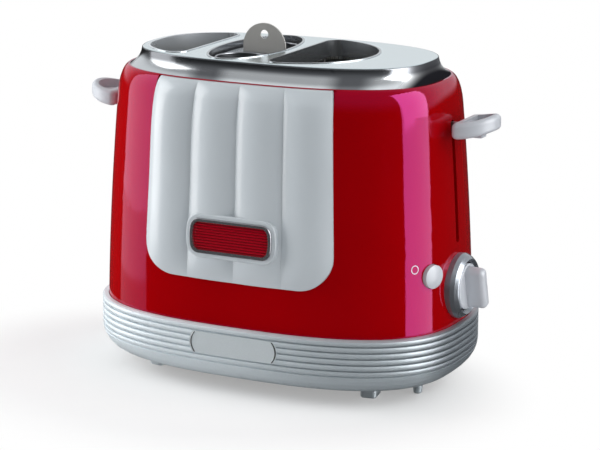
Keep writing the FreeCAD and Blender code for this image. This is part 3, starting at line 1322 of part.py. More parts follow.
# ---------------------------------------------------------------- crumb tray
def crumb_tray(ring):
    """Pan under the chamber with a front cut from the base band's own form and a finger scoop."""
    left, right = TRAY_LEFT_X + 1.5, TRAY_RIGHT_X - 1.5
    low, high = TRAY_Z, TRAY_Z + TRAY_HEIGHT
    pan = box(left, right, TRAY_FRONT_Y, TRAY_BACK_Y, low, high)
    pan = pan.cut(box(left + TRAY_WALL, right - TRAY_WALL, TRAY_FRONT_Y + TRAY_WALL, FAR,
                      low + TRAY_WALL, high + 1))
    front = ring.common(tray_window())
    reach = skirt_half_length(low) - SKIRT_WALL / 2
    neck = box(left, right, TRAY_BACK_Y - 5, FAR, low, low + TRAY_WALL)
    neck = neck.common(oval_prism(reach, reach - PLAN_INSET, 0, FAR))
    middle = (left + right) / 2
    scoop_z = (low + high) / 2 - 1
    a = skirt_half_length(scoop_z)
    outer_y = oval_half_depth_at(middle, a, a - PLAN_INSET)
    scoop = Part.makeCylinder(SCOOP_RADIUS, SCOOP_LENGTH, Vector(
        middle - SCOOP_LENGTH / 2, outer_y + SCOOP_RADIUS - SCOOP_DEPTH, scoop_z), X_AXIS)
    return fused([pan, neck, front]).cut(scoop)


# ---------------------------------------------------------------- all sub-parts
def build():
    outside = body_solid()
    inside = body_solid(BODY_WALL, CHASSIS_Z - 1, BODY_TOP_Z - BODY_WALL)
    ring = skirt_ring()
    right_lever = lever()
    left_board_x, right_inner_x = inner_board_x()
    save("body_shell", body_shell(outside, inside))
    save("front_panel", front_panel())
    save("badge_frame", badge_frame())
    save("badge_plate", badge_plate())
    save("steel_cap", steel_cap())
    save("left_collar", collar(left_slot))
    save("basket_collar", collar(basket_slot))
    save("right_collar", collar(right_slot))
    save("base_skirt", base_skirt(ring))
    save("name_plate", name_plate())
    save("bottom_cover", bottom_cover())
    save("cover_posts", cover_posts())
    save("base_screws", base_screws())
    save("feet", feet())
    save("cord_posts", cord_posts())
    save("cord_gland", cord_gland())
    save("chassis_plate", chassis_plate())
    save("chamber_liner", chamber_liner())
    save("left_outer_heater", left_outer_heater())
    save("left_inner_heater", flat_boards(left_board_x))
    save("right_inner_heater", flat_boards(right_inner_x))
    save("right_outer_heater", flat_boards(right_board_x()))
    save("heating_ribbons", heating_ribbons())
    save("left_guard_hoops", guard_hoops(left_slot))
    save("left_guard_wires", guard_wires(LEFT_SLOT_INNER_X + GUARD_WIRE, -1))
    save("right_guard_hoops", guard_hoops(right_slot))
    save("right_guard_wires", guard_wires(RIGHT_SLOT_INNER_X - GUARD_WIRE, 1))
    save("guide_rods", guide_rods())
    save("rod_brackets", rod_brackets())
    save("lift_springs", lift_springs())
    save("holding_magnet", holding_magnet())
    save("control_board", control_board())
    save("timer_body", timer_body())
    save("stop_switch", stop_switch())
    save("dial_ring", dial_ring(outside))
    save("button_guide", button_guide(inside))
    save("carriage_frame", carriage_frame())
    save("lever_arms", lever_arms())
    save("left_bun_rack", left_bun_rack())
    save("right_bun_rack", right_bun_rack())
    save("basket_seat", basket_seat())
    save("armature", armature())
    save("right_lever", right_lever)
    save("left_lever", right_lever.mirror(Vector(0, 0, 0), X_AXIS))
    save("basket_plate", basket_plate())
    save("basket_tab", basket_tab())
    save("sausage_wells", sausage_wells())
    save("timer_knob", timer_knob())
    save("timer_shaft", timer_shaft())
    save("stop_button", stop_button())
    save("crumb_tray", crumb_tray(ring))


build()
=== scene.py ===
# %% [markdown]
# # A hot dog toaster
# This lesson dresses a finished mechanical model. The shapes come from CAD, so Blender's work is the
# finishes, a few small parts that are only paint or thin metal, the light and the camera.
# First the frame is loaded: every CAD part arrives where it belongs, in metres, with +Z up.

# %% Load the frame
import math

import bpy
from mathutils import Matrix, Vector
from mathutils.bvhtree import BVHTree


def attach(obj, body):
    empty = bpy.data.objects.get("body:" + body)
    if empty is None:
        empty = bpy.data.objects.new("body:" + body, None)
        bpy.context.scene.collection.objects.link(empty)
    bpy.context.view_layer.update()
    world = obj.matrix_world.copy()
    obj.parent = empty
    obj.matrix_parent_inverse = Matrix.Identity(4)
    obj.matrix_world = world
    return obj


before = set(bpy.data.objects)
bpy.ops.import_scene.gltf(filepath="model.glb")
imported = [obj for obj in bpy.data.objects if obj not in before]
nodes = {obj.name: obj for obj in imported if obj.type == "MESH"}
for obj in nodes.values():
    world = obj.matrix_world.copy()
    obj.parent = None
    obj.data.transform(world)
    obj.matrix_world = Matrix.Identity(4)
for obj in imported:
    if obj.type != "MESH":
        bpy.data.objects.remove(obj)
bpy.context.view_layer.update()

# %% [markdown]
# A shader graph is easier to read as sums than as boxes and wires. This class holds one output of a
# node, and each sum on it adds the Math node that does it. The reflected forms let a plain number
# stand on the left, as in 1 - mask.

# %% A socket that can be added and multiplied
class Wire:
    """One output socket in a material, with arithmetic."""

    def __init__(self, tree, socket):
        self.tree, self.socket = tree, socket

    def maths(self, operation, *values):
        node = self.tree.nodes.new("ShaderNodeMath")
        node.operation = operation
        for slot, value in zip(node.inputs, values):
            join(self.tree, slot, value)
        return Wire(self.tree, node.outputs[0])

    def __add__(self, other):
        return self.maths("ADD", self, other)

    def __mul__(self, other):
        return self.maths("MULTIPLY", self, other)

    def __sub__(self, other):
        return self.maths("SUBTRACT", self, other)

    def __rsub__(self, other):
        return self.maths("SUBTRACT", other, self)

    def __gt__(self, other):
        return self.maths("GREATER_THAN", self, other)

    def __lt__(self, other):
        return self.maths("LESS_THAN", self, other)

    def __abs__(self):
        return self.maths("ABSOLUTE", self)

    def fraction(self):
        """What is over above a whole number, for patterns that repeat."""
        return self.maths("FRACT", self)

    __radd__ = __add__
    __rmul__ = __mul__


def join(tree, slot, value):
    """Set a node's input to a number or colour, or link a Wire to it."""
    if isinstance(value, Wire):
        tree.links.new(value.socket, slot)
    else:
        slot.default_value = value


# %% [markdown]
# Every finish starts from the Principled shader. What is the same all over is set on the shader's own
# sockets. What changes from place to place is built from noise and waves in object coordinates, which
# are metres here, so a scale of 1000 gives detail of about a millimetre. The Mix node has a set of
# sockets for each kind of value, and the numbers of those for colours are written down once.

# %% A node graph, and the finish that grows from it
COLOUR_A, COLOUR_B, COLOUR_OUT = 6, 7, 2


class Graph:
    """A node tree and the one way to add a node to it."""

    def __init__(self, tree):
        self.tree = tree

    def add(self, kind, settings=None, inputs=None, output=0):
        """Add a node: its settings first, then the values or wires of its inputs."""
        node = self.tree.nodes.new(kind)
        for key, value in (settings or {}).items():
            setattr(node, key, value)
        for key, value in (inputs or {}).items():
            join(self.tree, node.inputs[key], value)
        return Wire(self.tree, node.outputs[output])

    def ramp(self, value, low, high):
        """A soft step from 0 to 1 as the value goes from low to high."""
        return self.add("ShaderNodeMapRange", {"interpolation_type": "SMOOTHSTEP"}, {
            "Value": value, "From Min": low, "From Max": high}, output="Result")

    def axis(self, vector, letter):
        """One coordinate of a vector."""
        return self.add("ShaderNodeSeparateXYZ", {}, {0: vector}, output=letter)

    def ray(self, kind):
        """1 for rays of this kind, such as the camera's own, and 0 for the rest."""
        return self.add("ShaderNodeLightPath", output=kind)


class Finish(Graph):
    """A material being made: its shader, and the object's own coordinates."""

    def __init__(self, name, colour, roughness, **fixed):
        self.material = bpy.data.materials.new(name)
        self.material.use_nodes = True
        super().__init__(self.material.node_tree)
        self.shader = self.tree.nodes["Principled BSDF"]
        self.set("Base Color", (*colour, 1.0))
        self.set("Roughness", roughness)
        for socket, value in fixed.items():
            self.set(socket.replace("_", " "), value)
        self.place = self.add("ShaderNodeTexCoord", output="Object")

    def set(self, socket, value):
        """Set one of the shader's sockets, or link a Wire to it."""
        join(self.tree, self.shader.inputs[socket], value)

    def stretched(self, x, y, z):
        """Object coordinates stretched along the axes, for grain that runs one way."""
        return self.add("ShaderNodeVectorMath", {"operation": "MULTIPLY"},
                        {0: self.place, 1: (x, y, z)})

    def noise(self, scale, detail=3.0, where=None):
        """Soft noise from 0 to 1."""
        return self.add("ShaderNodeTexNoise", {}, {
            "Vector": where or self.place, "Scale": scale, "Detail": detail}, output="Fac")

    def rolled(self, along):
        """The fine lines that rolling leaves along one axis, from 0 to 1."""
        squeeze = [900.0, 900.0, 900.0]
        squeeze["xyz".index(along)] = 12.0
        return self.noise(1.0, 4.0, self.stretched(*squeeze))

    def between(self, low, high, value):
        """Two colours mixed by a value from 0 to 1. Each is three numbers or a Wire."""
        low, high = (c if isinstance(c, Wire) else (*c, 1.0) for c in (low, high))
        return self.add("ShaderNodeMix", {"data_type": "RGBA"}, {
            0: value, COLOUR_A: low, COLOUR_B: high}, output=COLOUR_OUT)

    def bumps(self, height, distance, strength=1.0):
        """Make the surface look raised where the height is large; the distance is in metres."""
        self.set("Normal", self.add("ShaderNodeBump", {}, {
            "Strength": strength, "Distance": distance, "Height": height}))


def dress(finish, *names):
    """Give CAD parts a finish."""
    for name in names:
        for holder in nodes[name].material_slots:
            holder.material = finish.material
    print("dressed", *names)


# %% [markdown]
# The camera stands in front, to the right and a little above. A long lens keeps the ovals calm. The
# shift moves the toaster in the frame without turning the camera.

# %% The camera
camera_data = bpy.data.cameras.new("camera")
camera_data.lens = 131.6
camera_data.sensor_width = 36.0
camera_data.shift_x = 0.0192
camera_data.shift_y = -0.0298
camera = bpy.data.objects.new("camera", camera_data)
bpy.context.scene.collection.objects.link(camera)
camera.location = (0.7077, -1.4005, 0.4974)
looked_at = Vector((0.0, 0.0, 0.1204))
aim = looked_at - camera.location
camera.rotation_euler = aim.to_track_quat("-Z", "Y").to_euler()
bpy.context.scene.camera = camera
print("camera", round(aim.length, 3), "m from the toaster")

# %% [markdown]
# The body is sheet steel under glossy red enamel. Real enamel isn't quite flat: it has a faint
# orange-peel wave, which the Bump node gives, and its colour is a touch deeper where it lies thicker.
# A little metal under the paint keeps its reflections warm and deep, as candy enamel does, and a tint
# on the reflections turns the lamps' white streaks pink.

# %% Red enamel
enamel = Finish("red_enamel", (0.31, 0.0, 0.0005), 0.06, Metallic=0.06,
                Specular_Tint=(1.0, 0.2, 1.0, 1.0))
depth = enamel.noise(14.0, 2.0)
enamel.set("Base Color", enamel.between((0.28, 0.0, 0.0003), (0.335, 0.0, 0.0006), depth))
enamel.set("Roughness", 0.04 + 0.04 * enamel.noise(60.0))
enamel.bumps(enamel.noise(160.0, 1.0), 0.00003, 0.15)
dress(enamel, "body_shell")

# %% [markdown]
# The fluted front panel is pressed steel in pale grey enamel. It is the same kind of paint as the
# body's under a softer clear coat, so its flutes read by soft shading.

# %% Pale enamel
pale = Finish("pale_enamel", (0.51, 0.55, 0.58), 0.3, Coat_Weight=0.75, Coat_Roughness=0.12)
pale.set("Base Color", pale.between((0.485, 0.525, 0.555), (0.53, 0.57, 0.60), pale.noise(18.0, 2.0)))
pale.set("Roughness", 0.26 + 0.1 * pale.noise(70.0))
pale.bumps(pale.noise(180.0, 1.0), 0.00003, 0.2)
dress(pale, "front_panel")

# %% [markdown]
# The cap is polished stainless steel, with fine rolling lines along X. Its wall is a hollow, and
# painted reflections in its colour change its tone along X. It is painted a little darker at the left,
# it has a painted dark reflection some five centimetres to either side of one place, and its two tight
# ends are painted nearly black, and are dull. A painted dark reflection also runs up to the deck's edge.
# The deck itself is even and bright.
# Each change is a soft step. The steps to both sides work on squared distances, in square metres, so
# that one step serves left and right alike. A plain sheen at a shallow angle would wash out the dark
# ends, so it is turned off.

# %% Polished cap
deck_foot = 0.2373
lip_heights = (0.2298, 0.2334)
stretch_place = 0.0225
stretch_starts, stretch_ends = (0.0011, 0.0024), (0.0034, 0.0054)
tight_starts = (0.0108, 0.0130)
cap_steel = Finish("polished_cap", (0.74, 0.79, 0.81), 0.14, Specular_IOR_Level=0.0)
cap_x, cap_z = (cap_steel.axis(cap_steel.place, letter) for letter in "XZ")
# Painted dark reflections on the wall: darker at the left, a dark stretch to either side of one place, a
# dark band up to the deck's edge and near-black ends.
from_place = cap_x - stretch_place
squared = from_place * from_place
dark_reflection_stretch = cap_steel.ramp(squared, *stretch_starts) * (1.0 - cap_steel.ramp(squared, *stretch_ends))
painted_dark_end = cap_steel.ramp(cap_x * cap_x, *tight_starts)
painted_reflection_tone = cap_steel.between((0.62, 0.64, 0.66), (0.84, 0.86, 0.88), cap_steel.ramp(cap_x, -0.04, 0.0))
painted_reflection_tone = cap_steel.between(painted_reflection_tone, (0.22, 0.225, 0.24), dark_reflection_stretch)
painted_reflection_tone = cap_steel.between(painted_reflection_tone, (0.18, 0.187, 0.20), cap_steel.ramp(cap_z, *lip_heights))
painted_reflection_tone = cap_steel.between(painted_reflection_tone, (0.012, 0.012, 0.015), painted_dark_end)
cap_patches = cap_steel.noise(25.0, 2.0)
deck_tone = cap_steel.between((0.66, 0.735, 0.76), (0.72, 0.80, 0.825), cap_patches)
dull_end = painted_dark_end * (cap_z < deck_foot)
cap_steel.set("Base Color", cap_steel.between(painted_reflection_tone, deck_tone, cap_z > deck_foot))
cap_steel.set("Metallic", 1.0 - 0.95 * dull_end)
cap_steel.set("Roughness", 0.14 + 0.06 * cap_patches + 0.6 * dull_end)
cap_steel.bumps(cap_steel.rolled("x"), 0.000008, 0.3)
dress(cap_steel, "steel_cap")

# %% [markdown]
# The other steel parts share one recipe. Their rolling lines vary the colour and the roughness and
# lift the surface by a hair. The left collar is lighter than the other two and less like a mirror.
# The basket's tab is blasted, so it is rough and looks less like metal.

# %% Rolled steel
def steel(name, colour, roughness, along, spread=0.12, lift=0.00002, metal=1.0):
    """Stainless steel with its rolling lines along one axis."""
    finish = Finish(name, colour, roughness, Metallic=metal)
    lines = finish.rolled(along)
    patches = finish.noise(25.0, 2.0)
    shaded = tuple(0.88 * c for c in colour)
    finish.set("Base Color", finish.between(shaded, colour, 0.5 * lines + 0.5 * patches))
    finish.set("Roughness", roughness + spread * (lines - 0.5) + 0.05 * patches)
    finish.bumps(lines, lift, 0.3)
    return finish


collar_tone, left_collar_tone = (0.46, 0.48, 0.50), (0.74, 0.77, 0.80)
collar_steel = steel("collar_steel", collar_tone, 0.2, "z", 0.08)
leftward = 1.0 - collar_steel.ramp(collar_steel.axis(collar_steel.place, "X"), -0.08, -0.05)
collar_steel.set("Base Color", collar_steel.between(collar_tone, left_collar_tone, leftward))
collar_steel.set("Metallic", 0.93 - 0.22 * leftward)
dress(collar_steel, "left_collar", "basket_collar", "right_collar")
basket_steel = steel("basket_steel", (0.30, 0.31, 0.33), 0.26, "z")
dress(basket_steel, "basket_plate", "sausage_wells")
tab_steel = steel("blasted_tab", (0.47, 0.46, 0.44), 0.5, "z", 0.05, metal=0.45)
dress(tab_steel, "basket_tab")
sheet_steel = steel("sheet_steel", (0.42, 0.42, 0.41), 0.35, "x", 0.15)
dress(sheet_steel, "chassis_plate", "rod_brackets", "carriage_frame", "lever_arms", "basket_seat")
wire_steel = steel("wire_steel", (0.60, 0.60, 0.59), 0.25, "z", 0.1)
dress(wire_steel, "left_guard_hoops", "left_guard_wires", "right_guard_hoops", "right_guard_wires",
      "left_bun_rack", "right_bun_rack")
turned_steel = steel("turned_steel", (0.52, 0.52, 0.52), 0.22, "z", 0.1)
dress(turned_steel, "guide_rods", "timer_shaft", "armature", "base_screws")

# %% [markdown]
# The reflector round the chamber has been hot, and heat leaves stains on bright steel, so its tone
# and its roughness drift from place to place.

# %% Heat-stained liner
liner = Finish("stained_liner", (0.42, 0.42, 0.41), 0.4, Metallic=1.0)
stain = liner.noise(16.0, 4.0)
liner.set("Base Color", liner.between((0.30, 0.29, 0.29), (0.56, 0.56, 0.55), stain))
liner.set("Roughness", 0.32 + 0.2 * liner.noise(45.0))
dress(liner, "chamber_liner")

# %% [markdown]
# The base band is plastic under silver paint, and a fine speckle stands for the paint's flakes. CAD
# cuts the band's grooves. Between them each rib is slightly round, which a bump that repeats with the
# height gives. Painted light and shade make the paint brighter at the left of the band than at the
# right, and a painted dark reflection turns its last two centimetres at the right dark. The tray, the
# feet and the cord's posts have the same paint.

# %% Silver band
groove_top, groove_pitch, groove_count = 0.047, 0.0044, 6
ribs_foot, ribs_top = groove_top - groove_pitch * (groove_count - 1), groove_top + groove_pitch
rib_roundness = 0.0010
silver = {"Metallic": 0.3, "Coat_Weight": 0.15}
band_paint = Finish("silver_band", (0.59, 0.645, 0.68), 0.38, **silver)
band_x, band_z = (band_paint.axis(band_paint.place, letter) for letter in "XZ")
across = (band_z - (groove_top - groove_pitch * groove_count)) * (1.0 / groove_pitch)
from_crest = 2.0 * across.fraction() - 1.0
on_ribs = (band_z > ribs_foot) * (band_z < ribs_top)
band_paint.bumps((1.0 - from_crest * from_crest) * on_ribs, rib_roundness)
speckle = band_paint.noise(900.0, 2.0)
# Painted light and shade: a lit tone at the left turns into a shaded tone at the right.
lit_left_tone = band_paint.between((0.73, 0.80, 0.84), (0.80, 0.865, 0.905), speckle)
shaded_right_tone = band_paint.between((0.37, 0.415, 0.445), (0.41, 0.455, 0.485), speckle)
lit_to_shaded_tone = band_paint.between(lit_left_tone, shaded_right_tone, band_paint.ramp(band_x, -0.045, 0.13))
# A painted dark reflection on the band's last two centimetres at the right.
band_dark_reflection_end = band_paint.ramp(band_x, 0.126, 0.143)
band_paint.set("Base Color", band_paint.between(lit_to_shaded_tone, (0.15, 0.17, 0.19), band_dark_reflection_end))
band_paint.set("Roughness", 0.38 + 0.08 * band_paint.noise(50.0))
dress(band_paint, "base_skirt", "crumb_tray", "feet", "cord_posts")

# %% [markdown]
# The dial's ring and the name plate have a finer silver paint. Its flakes twinkle: a Voronoi pattern
# changes the brightness from flake to flake. The ring's paint holds more metal than the plate's.

# %% Silver ring and plate
def silver_paint(name, colour, roughness, **fixed):
    """Metallic paint with fine flakes."""
    finish = Finish(name, colour, roughness, **fixed)
    flakes = finish.add("ShaderNodeTexVoronoi", {}, {
        "Vector": finish.place, "Scale": 2600.0}, output="Distance")
    dark, bright = (tuple(factor * c for c in colour) for factor in (0.93, 1.06))
    finish.set("Base Color", finish.between(dark, bright, flakes))
    finish.set("Roughness", roughness + 0.08 * finish.noise(50.0))
    return finish


ring_paint = silver_paint("silver_ring", (0.25, 0.27, 0.30), 0.24, Metallic=0.75, Coat_Weight=0.15)
dress(ring_paint, "dial_ring")
plate_paint = silver_paint("silver_plate", (0.66, 0.715, 0.74), 0.32, **silver)
dress(plate_paint, "name_plate")

# %% [markdown]
# Levers, knob and button are moulded from white plastic. Moulded plastic is smooth, with a very faint
# grain from the tool and faint clouds in its colour. The cover and the switches are of black plastic,
# and the control board takes the same recipe in green.

# %% Moulded plastics
def moulded(name, colour, roughness, grain=0.00002, **fixed):
    """Moulded plastic: faint clouds in its colour and a fine grain."""
    finish = Finish(name, colour, roughness, **fixed)
    dull = tuple(0.93 * c for c in colour)
    finish.set("Base Color", finish.between(dull, colour, finish.noise(30.0, 2.0)))
    finish.set("Roughness", roughness + 0.1 * finish.noise(120.0))
    finish.bumps(finish.noise(1500.0, 2.0), grain, 0.3)
    return finish


white = moulded("white_plastic", (0.50, 0.52, 0.56), 0.30, Coat_Weight=0.05)
dress(white, "left_lever", "right_lever", "timer_knob", "stop_button")
black = moulded("black_plastic", (0.022, 0.023, 0.025), 0.42, 0.00004)
dress(black, "bottom_cover", "cover_posts", "cord_gland", "button_guide", "stop_switch", "timer_body")
board = moulded("circuit_board", (0.03, 0.13, 0.06), 0.35)
dress(board, "control_board")

# %% [markdown]
# The badge is a red plate with fine ribs along it, in a chrome rim. Shade is painted between the ribs,
# where the red is darker, so the red repeats with the height.

# %% Badge
badge_groove_shade, badge_crest = (0.12, 0.0, 0.003), (0.44, 0.0, 0.012)
badge_red = moulded("badge_red", badge_crest, 0.25, 0.000003, Specular_IOR_Level=0.2)
badge_z = [v.co.z for v in nodes["badge_plate"].data.vertices]
badge_middle = 0.5 * (min(badge_z) + max(badge_z))
badge_pitch = 0.0020
# Painted shade between the ribs: the red is darker in each groove.
rib = (badge_red.axis(badge_red.place, "Z") - badge_middle) * (1.0 / badge_pitch)
crest = 2.0 * abs(rib.fraction() - 0.5)
badge_red.set("Base Color", badge_red.between(badge_groove_shade, badge_crest, crest))
dress(badge_red, "badge_plate")
chrome = steel("badge_chrome", (0.55, 0.54, 0.57), 0.16, "x", 0.04, 0.000005, metal=0.9)
dress(chrome, "badge_frame")

# %% [markdown]
# Mica boards carry flat heating ribbons. Mica is layered, so its colour comes in thin flakes. The
# ribbon is dark from oxide. The magnet's winding has painted shade between its turns. The lift springs
# are sleeves in CAD, and a wave along Z draws the coil's turns on them, with painted shade in the gaps
# between the turns.

# %% Heaters, magnet and springs
mica = Finish("mica", (0.50, 0.42, 0.30), 0.5)
leaves = mica.noise(1.0, 5.0, mica.stretched(300.0, 300.0, 90.0))
mica.set("Base Color", mica.between((0.36, 0.29, 0.20), (0.62, 0.55, 0.42), leaves))
mica.bumps(leaves, 0.00008, 0.4)
dress(mica, "left_outer_heater", "left_inner_heater", "right_inner_heater", "right_outer_heater")
ribbon = Finish("ribbon", (0.16, 0.13, 0.11), 0.45, Metallic=1.0)
ribbon.set("Base Color", ribbon.between((0.09, 0.075, 0.07), (0.24, 0.19, 0.16), ribbon.noise(90.0)))
dress(ribbon, "heating_ribbons")
magnet = Finish("wound_magnet", (0.24, 0.09, 0.04), 0.4, Metallic=0.7)
# Painted shade between the winding's turns.
turns = magnet.add("ShaderNodeTexWave", {"bands_direction": "Z"}, {
    "Vector": magnet.place, "Scale": 500.0, "Distortion": 0.3}, output="Fac")
magnet.set("Base Color", magnet.between((0.10, 0.04, 0.02), (0.34, 0.14, 0.06), turns))
magnet.bumps(turns, 0.0002)
dress(magnet, "holding_magnet")
spring = Finish("spring_wire", (0.4, 0.4, 0.4), 0.3, Metallic=1.0)
# Painted shade in the gaps between the spring's turns.
coils = spring.add("ShaderNodeTexWave", {"bands_direction": "Z", "wave_profile": "SIN"}, {
    "Vector": spring.place, "Scale": 160.0}, output="Fac")
spring.set("Base Color", spring.between((0.02, 0.02, 0.02), (0.5, 0.5, 0.5), coils))
spring.bumps(coils, 0.0006)
dress(spring, "lift_springs")

# %% [markdown]
# Two details are too thin for CAD: a printed mark and a pair of metal rims. Each is a strip laid on a
# CAD part. Its points are dropped onto the part's surface along a line, and stand off it by one to
# four tenths of a millimetre.

# %% Dropping points onto a CAD surface
def surface_of(name):
    """A search tree of one CAD part, for finding points on it."""
    mesh = nodes[name].data
    return BVHTree.FromPolygons([v.co for v in mesh.vertices], [p.vertices[:] for p in mesh.polygons])


def make_piece(name, vertices, faces, finish, body):
    """A smooth mesh piece that rides with a body."""
    mesh = bpy.data.meshes.new(name)
    mesh.from_pydata(vertices, [], faces)
    for face in mesh.polygons:
        face.use_smooth = True
    mesh.materials.append(finish.material)
    piece = bpy.data.objects.new(name, mesh)
    bpy.context.scene.collection.objects.link(piece)
    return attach(piece, body)


# %% [markdown]
# The off mark beside the button is a plain ring. Its circle is drawn in the plane that faces the
# wall there, and dropped onto the wall.

# %% Off mark
wall = surface_of("body_shell")
mark_ink = moulded("printed_white", (0.62, 0.62, 0.63), 0.4)
mark_centre = Vector((0.123, -0.049, 0.0994))
mark_out = Vector((0.80, -0.60, 0.0))
mark_side = Vector((0.60, 0.80, 0.0))
mark_half_wide, mark_half_tall = 0.0030, 0.0032
mark_inside = 0.78
mark_reach, mark_stand_off = 0.03, 0.0001
mark_steps = 40
mark_points, mark_faces = [], []
for step in range(mark_steps):
    turn = 2.0 * math.pi * step / mark_steps
    for radius in (1.0, mark_inside):
        spot = mark_centre + mark_out * mark_reach
        spot = spot + mark_side * (mark_half_wide * radius * math.cos(turn))
        spot.z += mark_half_tall * radius * math.sin(turn)
        found, normal, _, _ = wall.ray_cast(spot, -mark_out)
        mark_points.append(found + normal * mark_stand_off)
    this_pair, next_pair = 2 * step, 2 * ((step + 1) % mark_steps)
    mark_faces.append((this_pair, next_pair, next_pair + 1, this_pair + 1))
make_piece("off_mark", mark_points, mark_faces, mark_ink, "housing")
print("off mark at", tuple(round(v, 4) for v in mark_points[0]))

# %% [markdown]
# The name plate is bare. At each end a thin bright rim follows its bowed outline. The rim is a low
# ridge of three lines of points, and each line has its distance from the end and its height.

# %% Name plate rims
plate = surface_of("name_plate")
plate_points = [v.co for v in nodes["name_plate"].data.vertices]
plate_low = [min(p[axis] for p in plate_points) for axis in range(3)]
plate_high = [max(p[axis] for p in plate_points) for axis in range(3)]
plate_x, plate_z = (0.5 * (plate_low[axis] + plate_high[axis]) for axis in (0, 2))
plate_edge, plate_bow = 0.0006, 0.003
half_long = plate_high[0] - plate_x
half_tall = 0.5 * (plate_high[2] - plate_low[2]) - plate_edge
rim_lines = ((0.0018, 0.0001), (0.0012, 0.0004), (0.0006, 0.0001))
rim_width, rim_steps = len(rim_lines), 16
start_y = -0.3
rim_metal = steel("rim_metal", (0.86, 0.88, 0.90), 0.22, "z", 0.05)
rim_points, rim_faces = [], []
for side in (-1.0, 1.0):
    for step in range(rim_steps + 1):
        rise = 2.0 * step / rim_steps - 1.0
        end = half_long - plate_bow * rise * rise
        for inset, stand in rim_lines:
            spot = Vector((plate_x + side * (end - inset), start_y, plate_z + rise * half_tall))
            found, normal, _, _ = plate.ray_cast(spot, Vector((0.0, 1.0, 0.0)))
            rim_points.append(found + normal * stand)
        if step:
            first = len(rim_points) - 2 * rim_width
            for strip in range(first, first + rim_width - 1):
                corners = (strip, strip + 1, strip + 1 + rim_width, strip + rim_width)
                rim_faces.append(corners if side > 0 else corners[::-1])
make_piece("plate_rims", rim_points, rim_faces, rim_metal, "housing")
print("name plate rims", len(rim_points), "points")

# %% [markdown]
# The floor is a small round of white paper. Close to the toaster it is a real surface that takes the
# shadow. Towards its edge it turns into plain white for the camera, which the world outside is too,
# so no edge shows. Mirrors look through it, so that the glossy body keeps its deep red down to the band.

# %% Floor
floor_radius, floor_steps = 0.46, 72
least_glow, more_glow = 0.34, 0.66
paper = Finish("paper", (0.80, 0.80, 0.80), 0.9, Specular_IOR_Level=0.0)
paper.set("Base Color", paper.between((0.79, 0.79, 0.79), (0.81, 0.81, 0.81), paper.noise(40.0)))
from_shadow = paper.add("ShaderNodeVectorMath", {"operation": "ADD"}, {
    0: paper.stretched(0.75, 1.0, 1.0), 1: (0.03, 0.05, 0.0)})
distance = paper.add("ShaderNodeVectorMath", {"operation": "LENGTH"}, {0: from_shadow}, output="Value")
whiteness = least_glow + more_glow * paper.ramp(distance, 0.115, 0.19)
glow = paper.add("ShaderNodeEmission", {}, {"Color": (1.0, 1.0, 1.0, 1.0), "Strength": 1.0})
seen = paper.add("ShaderNodeMixShader", {}, {
    0: paper.ray("Is Camera Ray") * whiteness, 1: Wire(paper.tree, paper.shader.outputs[0]), 2: glow})
shown = paper.add("ShaderNodeMixShader", {}, {
    0: paper.ray("Is Glossy Ray"), 1: seen, 2: paper.add("ShaderNodeBsdfTransparent")})
paper.tree.links.new(shown.socket, paper.tree.nodes["Material Output"].inputs["Surface"])
floor_mesh = bpy.data.meshes.new("floor")
floor_turns = [math.radians(360.0 / floor_steps * step) for step in range(floor_steps)]
floor_mesh.from_pydata(
    [(floor_radius * math.cos(turn), floor_radius * math.sin(turn), 0.0) for turn in floor_turns], [],
    [tuple(range(floor_steps))])
floor_mesh.materials.append(paper.material)
floor = bpy.data.objects.new("floor", floor_mesh)
bpy.context.scene.collection.objects.link(floor)
print("floor", 2.0 * floor_radius, "m across")

# %% [markdown]
# A glossy round body shows its lamps, so their shape matters as much as their brightness. The tall
# panel at the left draws the upright streak there. It is made of three lengths, the lower the dimmer,
# so that the streak fades towards the floor. At the right one panel lights the scene, and a taller one
# that only mirrors show makes the streak bright. The fills at both sides and the panel overhead do
# the opposite: they light dull surfaces, and no mirror shows them.

# %% Lamps
def panel_lamp(name, azimuth, height, distance, width, tall, watts, aim_z=0.12):
    """A soft panel that faces the toaster. The azimuth is in degrees from the front, to the right."""
    data = bpy.data.lights.new(name, "AREA")
    data.shape = "RECTANGLE"
    data.size, data.size_y = width, tall
    data.energy = watts
    lamp = bpy.data.objects.new(name, data)
    angle = math.radians(azimuth)
    lamp.location = (distance * math.sin(angle), -distance * math.cos(angle), height)
    target = Vector((0.0, 0.0, aim_z)) - lamp.location
    lamp.rotation_euler = target.to_track_quat("-Z", "Y").to_euler()
    bpy.context.scene.collection.objects.link(lamp)
    return lamp


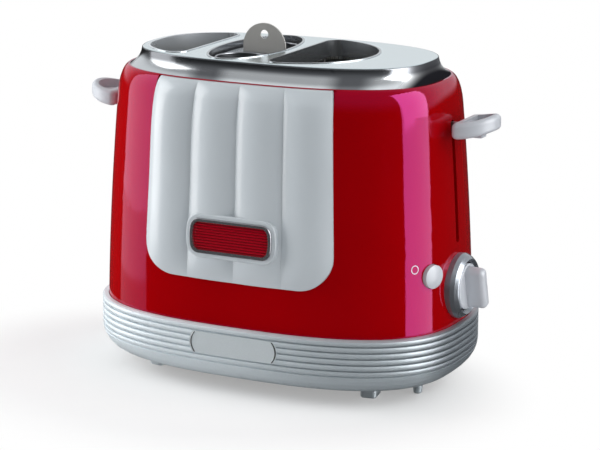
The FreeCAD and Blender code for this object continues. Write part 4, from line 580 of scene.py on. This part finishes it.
left_azimuth, left_width, watts_per_metre = -74.0, 0.80, 5.6
left_panel = (("left_high", -0.10, 1.65, 1.0),
              ("left_middle", -0.24, -0.10, 0.62),
              ("left_low", -0.75, -0.24, 0.30))
for name, low, high, share in left_panel:
    middle, tall = 0.5 * (low + high), high - low
    panel_lamp(name, left_azimuth, middle, 1.5, left_width, tall, watts_per_metre * tall * share, middle)
panel_lamp("right_panel", 92.0, 0.85, 1.5, 1.35, 1.6, 18.0)
right_streak = panel_lamp("right_streak", 91.0, 0.45, 1.48, 1.25, 2.4, 41.0)
right_streak.visible_diffuse = False
left_fill = panel_lamp("left_fill", -84.0, 0.3, 1.5, 1.4, 1.4, 33.0)
right_fill = panel_lamp("right_fill", 58.0, 0.15, 1.4, 0.8, 0.25, 2.0)
top_panel = panel_lamp("top_panel", 10.0, 1.8, 0.6, 1.6, 1.6, 3.0)
for unmirrored in (left_fill, right_fill, top_panel):
    unmirrored.visible_glossy = False
print("lamps", len(bpy.data.lights))

# %% [markdown]
# The world gives the rest of the light: an even grey for dull surfaces and plain white for the
# camera. Mirrors see a room. It is bright behind the toaster, which the deck shows, grey high up in
# front, which the cap's hollow shows, and dark low down in front, which keeps the red deep.

# %% World
room_dark, room_behind, room_overhead, room_dull = 0.03, 0.85, 0.38, 0.46
world = bpy.data.worlds.new("studio")
bpy.context.scene.world = world
world.use_nodes = True
room = Graph(world.node_tree)
towards = room.add("ShaderNodeTexCoord", output="Generated")
back, up = room.axis(towards, "Y"), room.axis(towards, "Z")
behind = room.ramp(back, -0.1, 0.45) * room.ramp(up, 0.0, 0.12)
overhead = room.ramp(up, 0.1, 0.55)
mirrored = room_dark + room_behind * behind + room_overhead * (1.0 - behind) * overhead
to_mirror = room.ray("Is Glossy Ray")
brightness = to_mirror * mirrored + (1.0 - to_mirror) * room_dull
plain = room.add("ShaderNodeBackground", {}, {"Color": (1.0, 1.0, 1.0, 1.0), "Strength": 1.0})
light = room.add("ShaderNodeBackground", {}, {"Color": (0.95, 0.98, 1.0, 1.0), "Strength": brightness})
chosen = room.add("ShaderNodeMixShader", {}, {0: room.ray("Is Camera Ray"), 1: light, 2: plain})
room.tree.links.new(chosen.socket, room.tree.nodes["World Output"].inputs["Surface"])
bpy.context.scene.view_settings.view_transform = "Standard"
print("world", world.name)
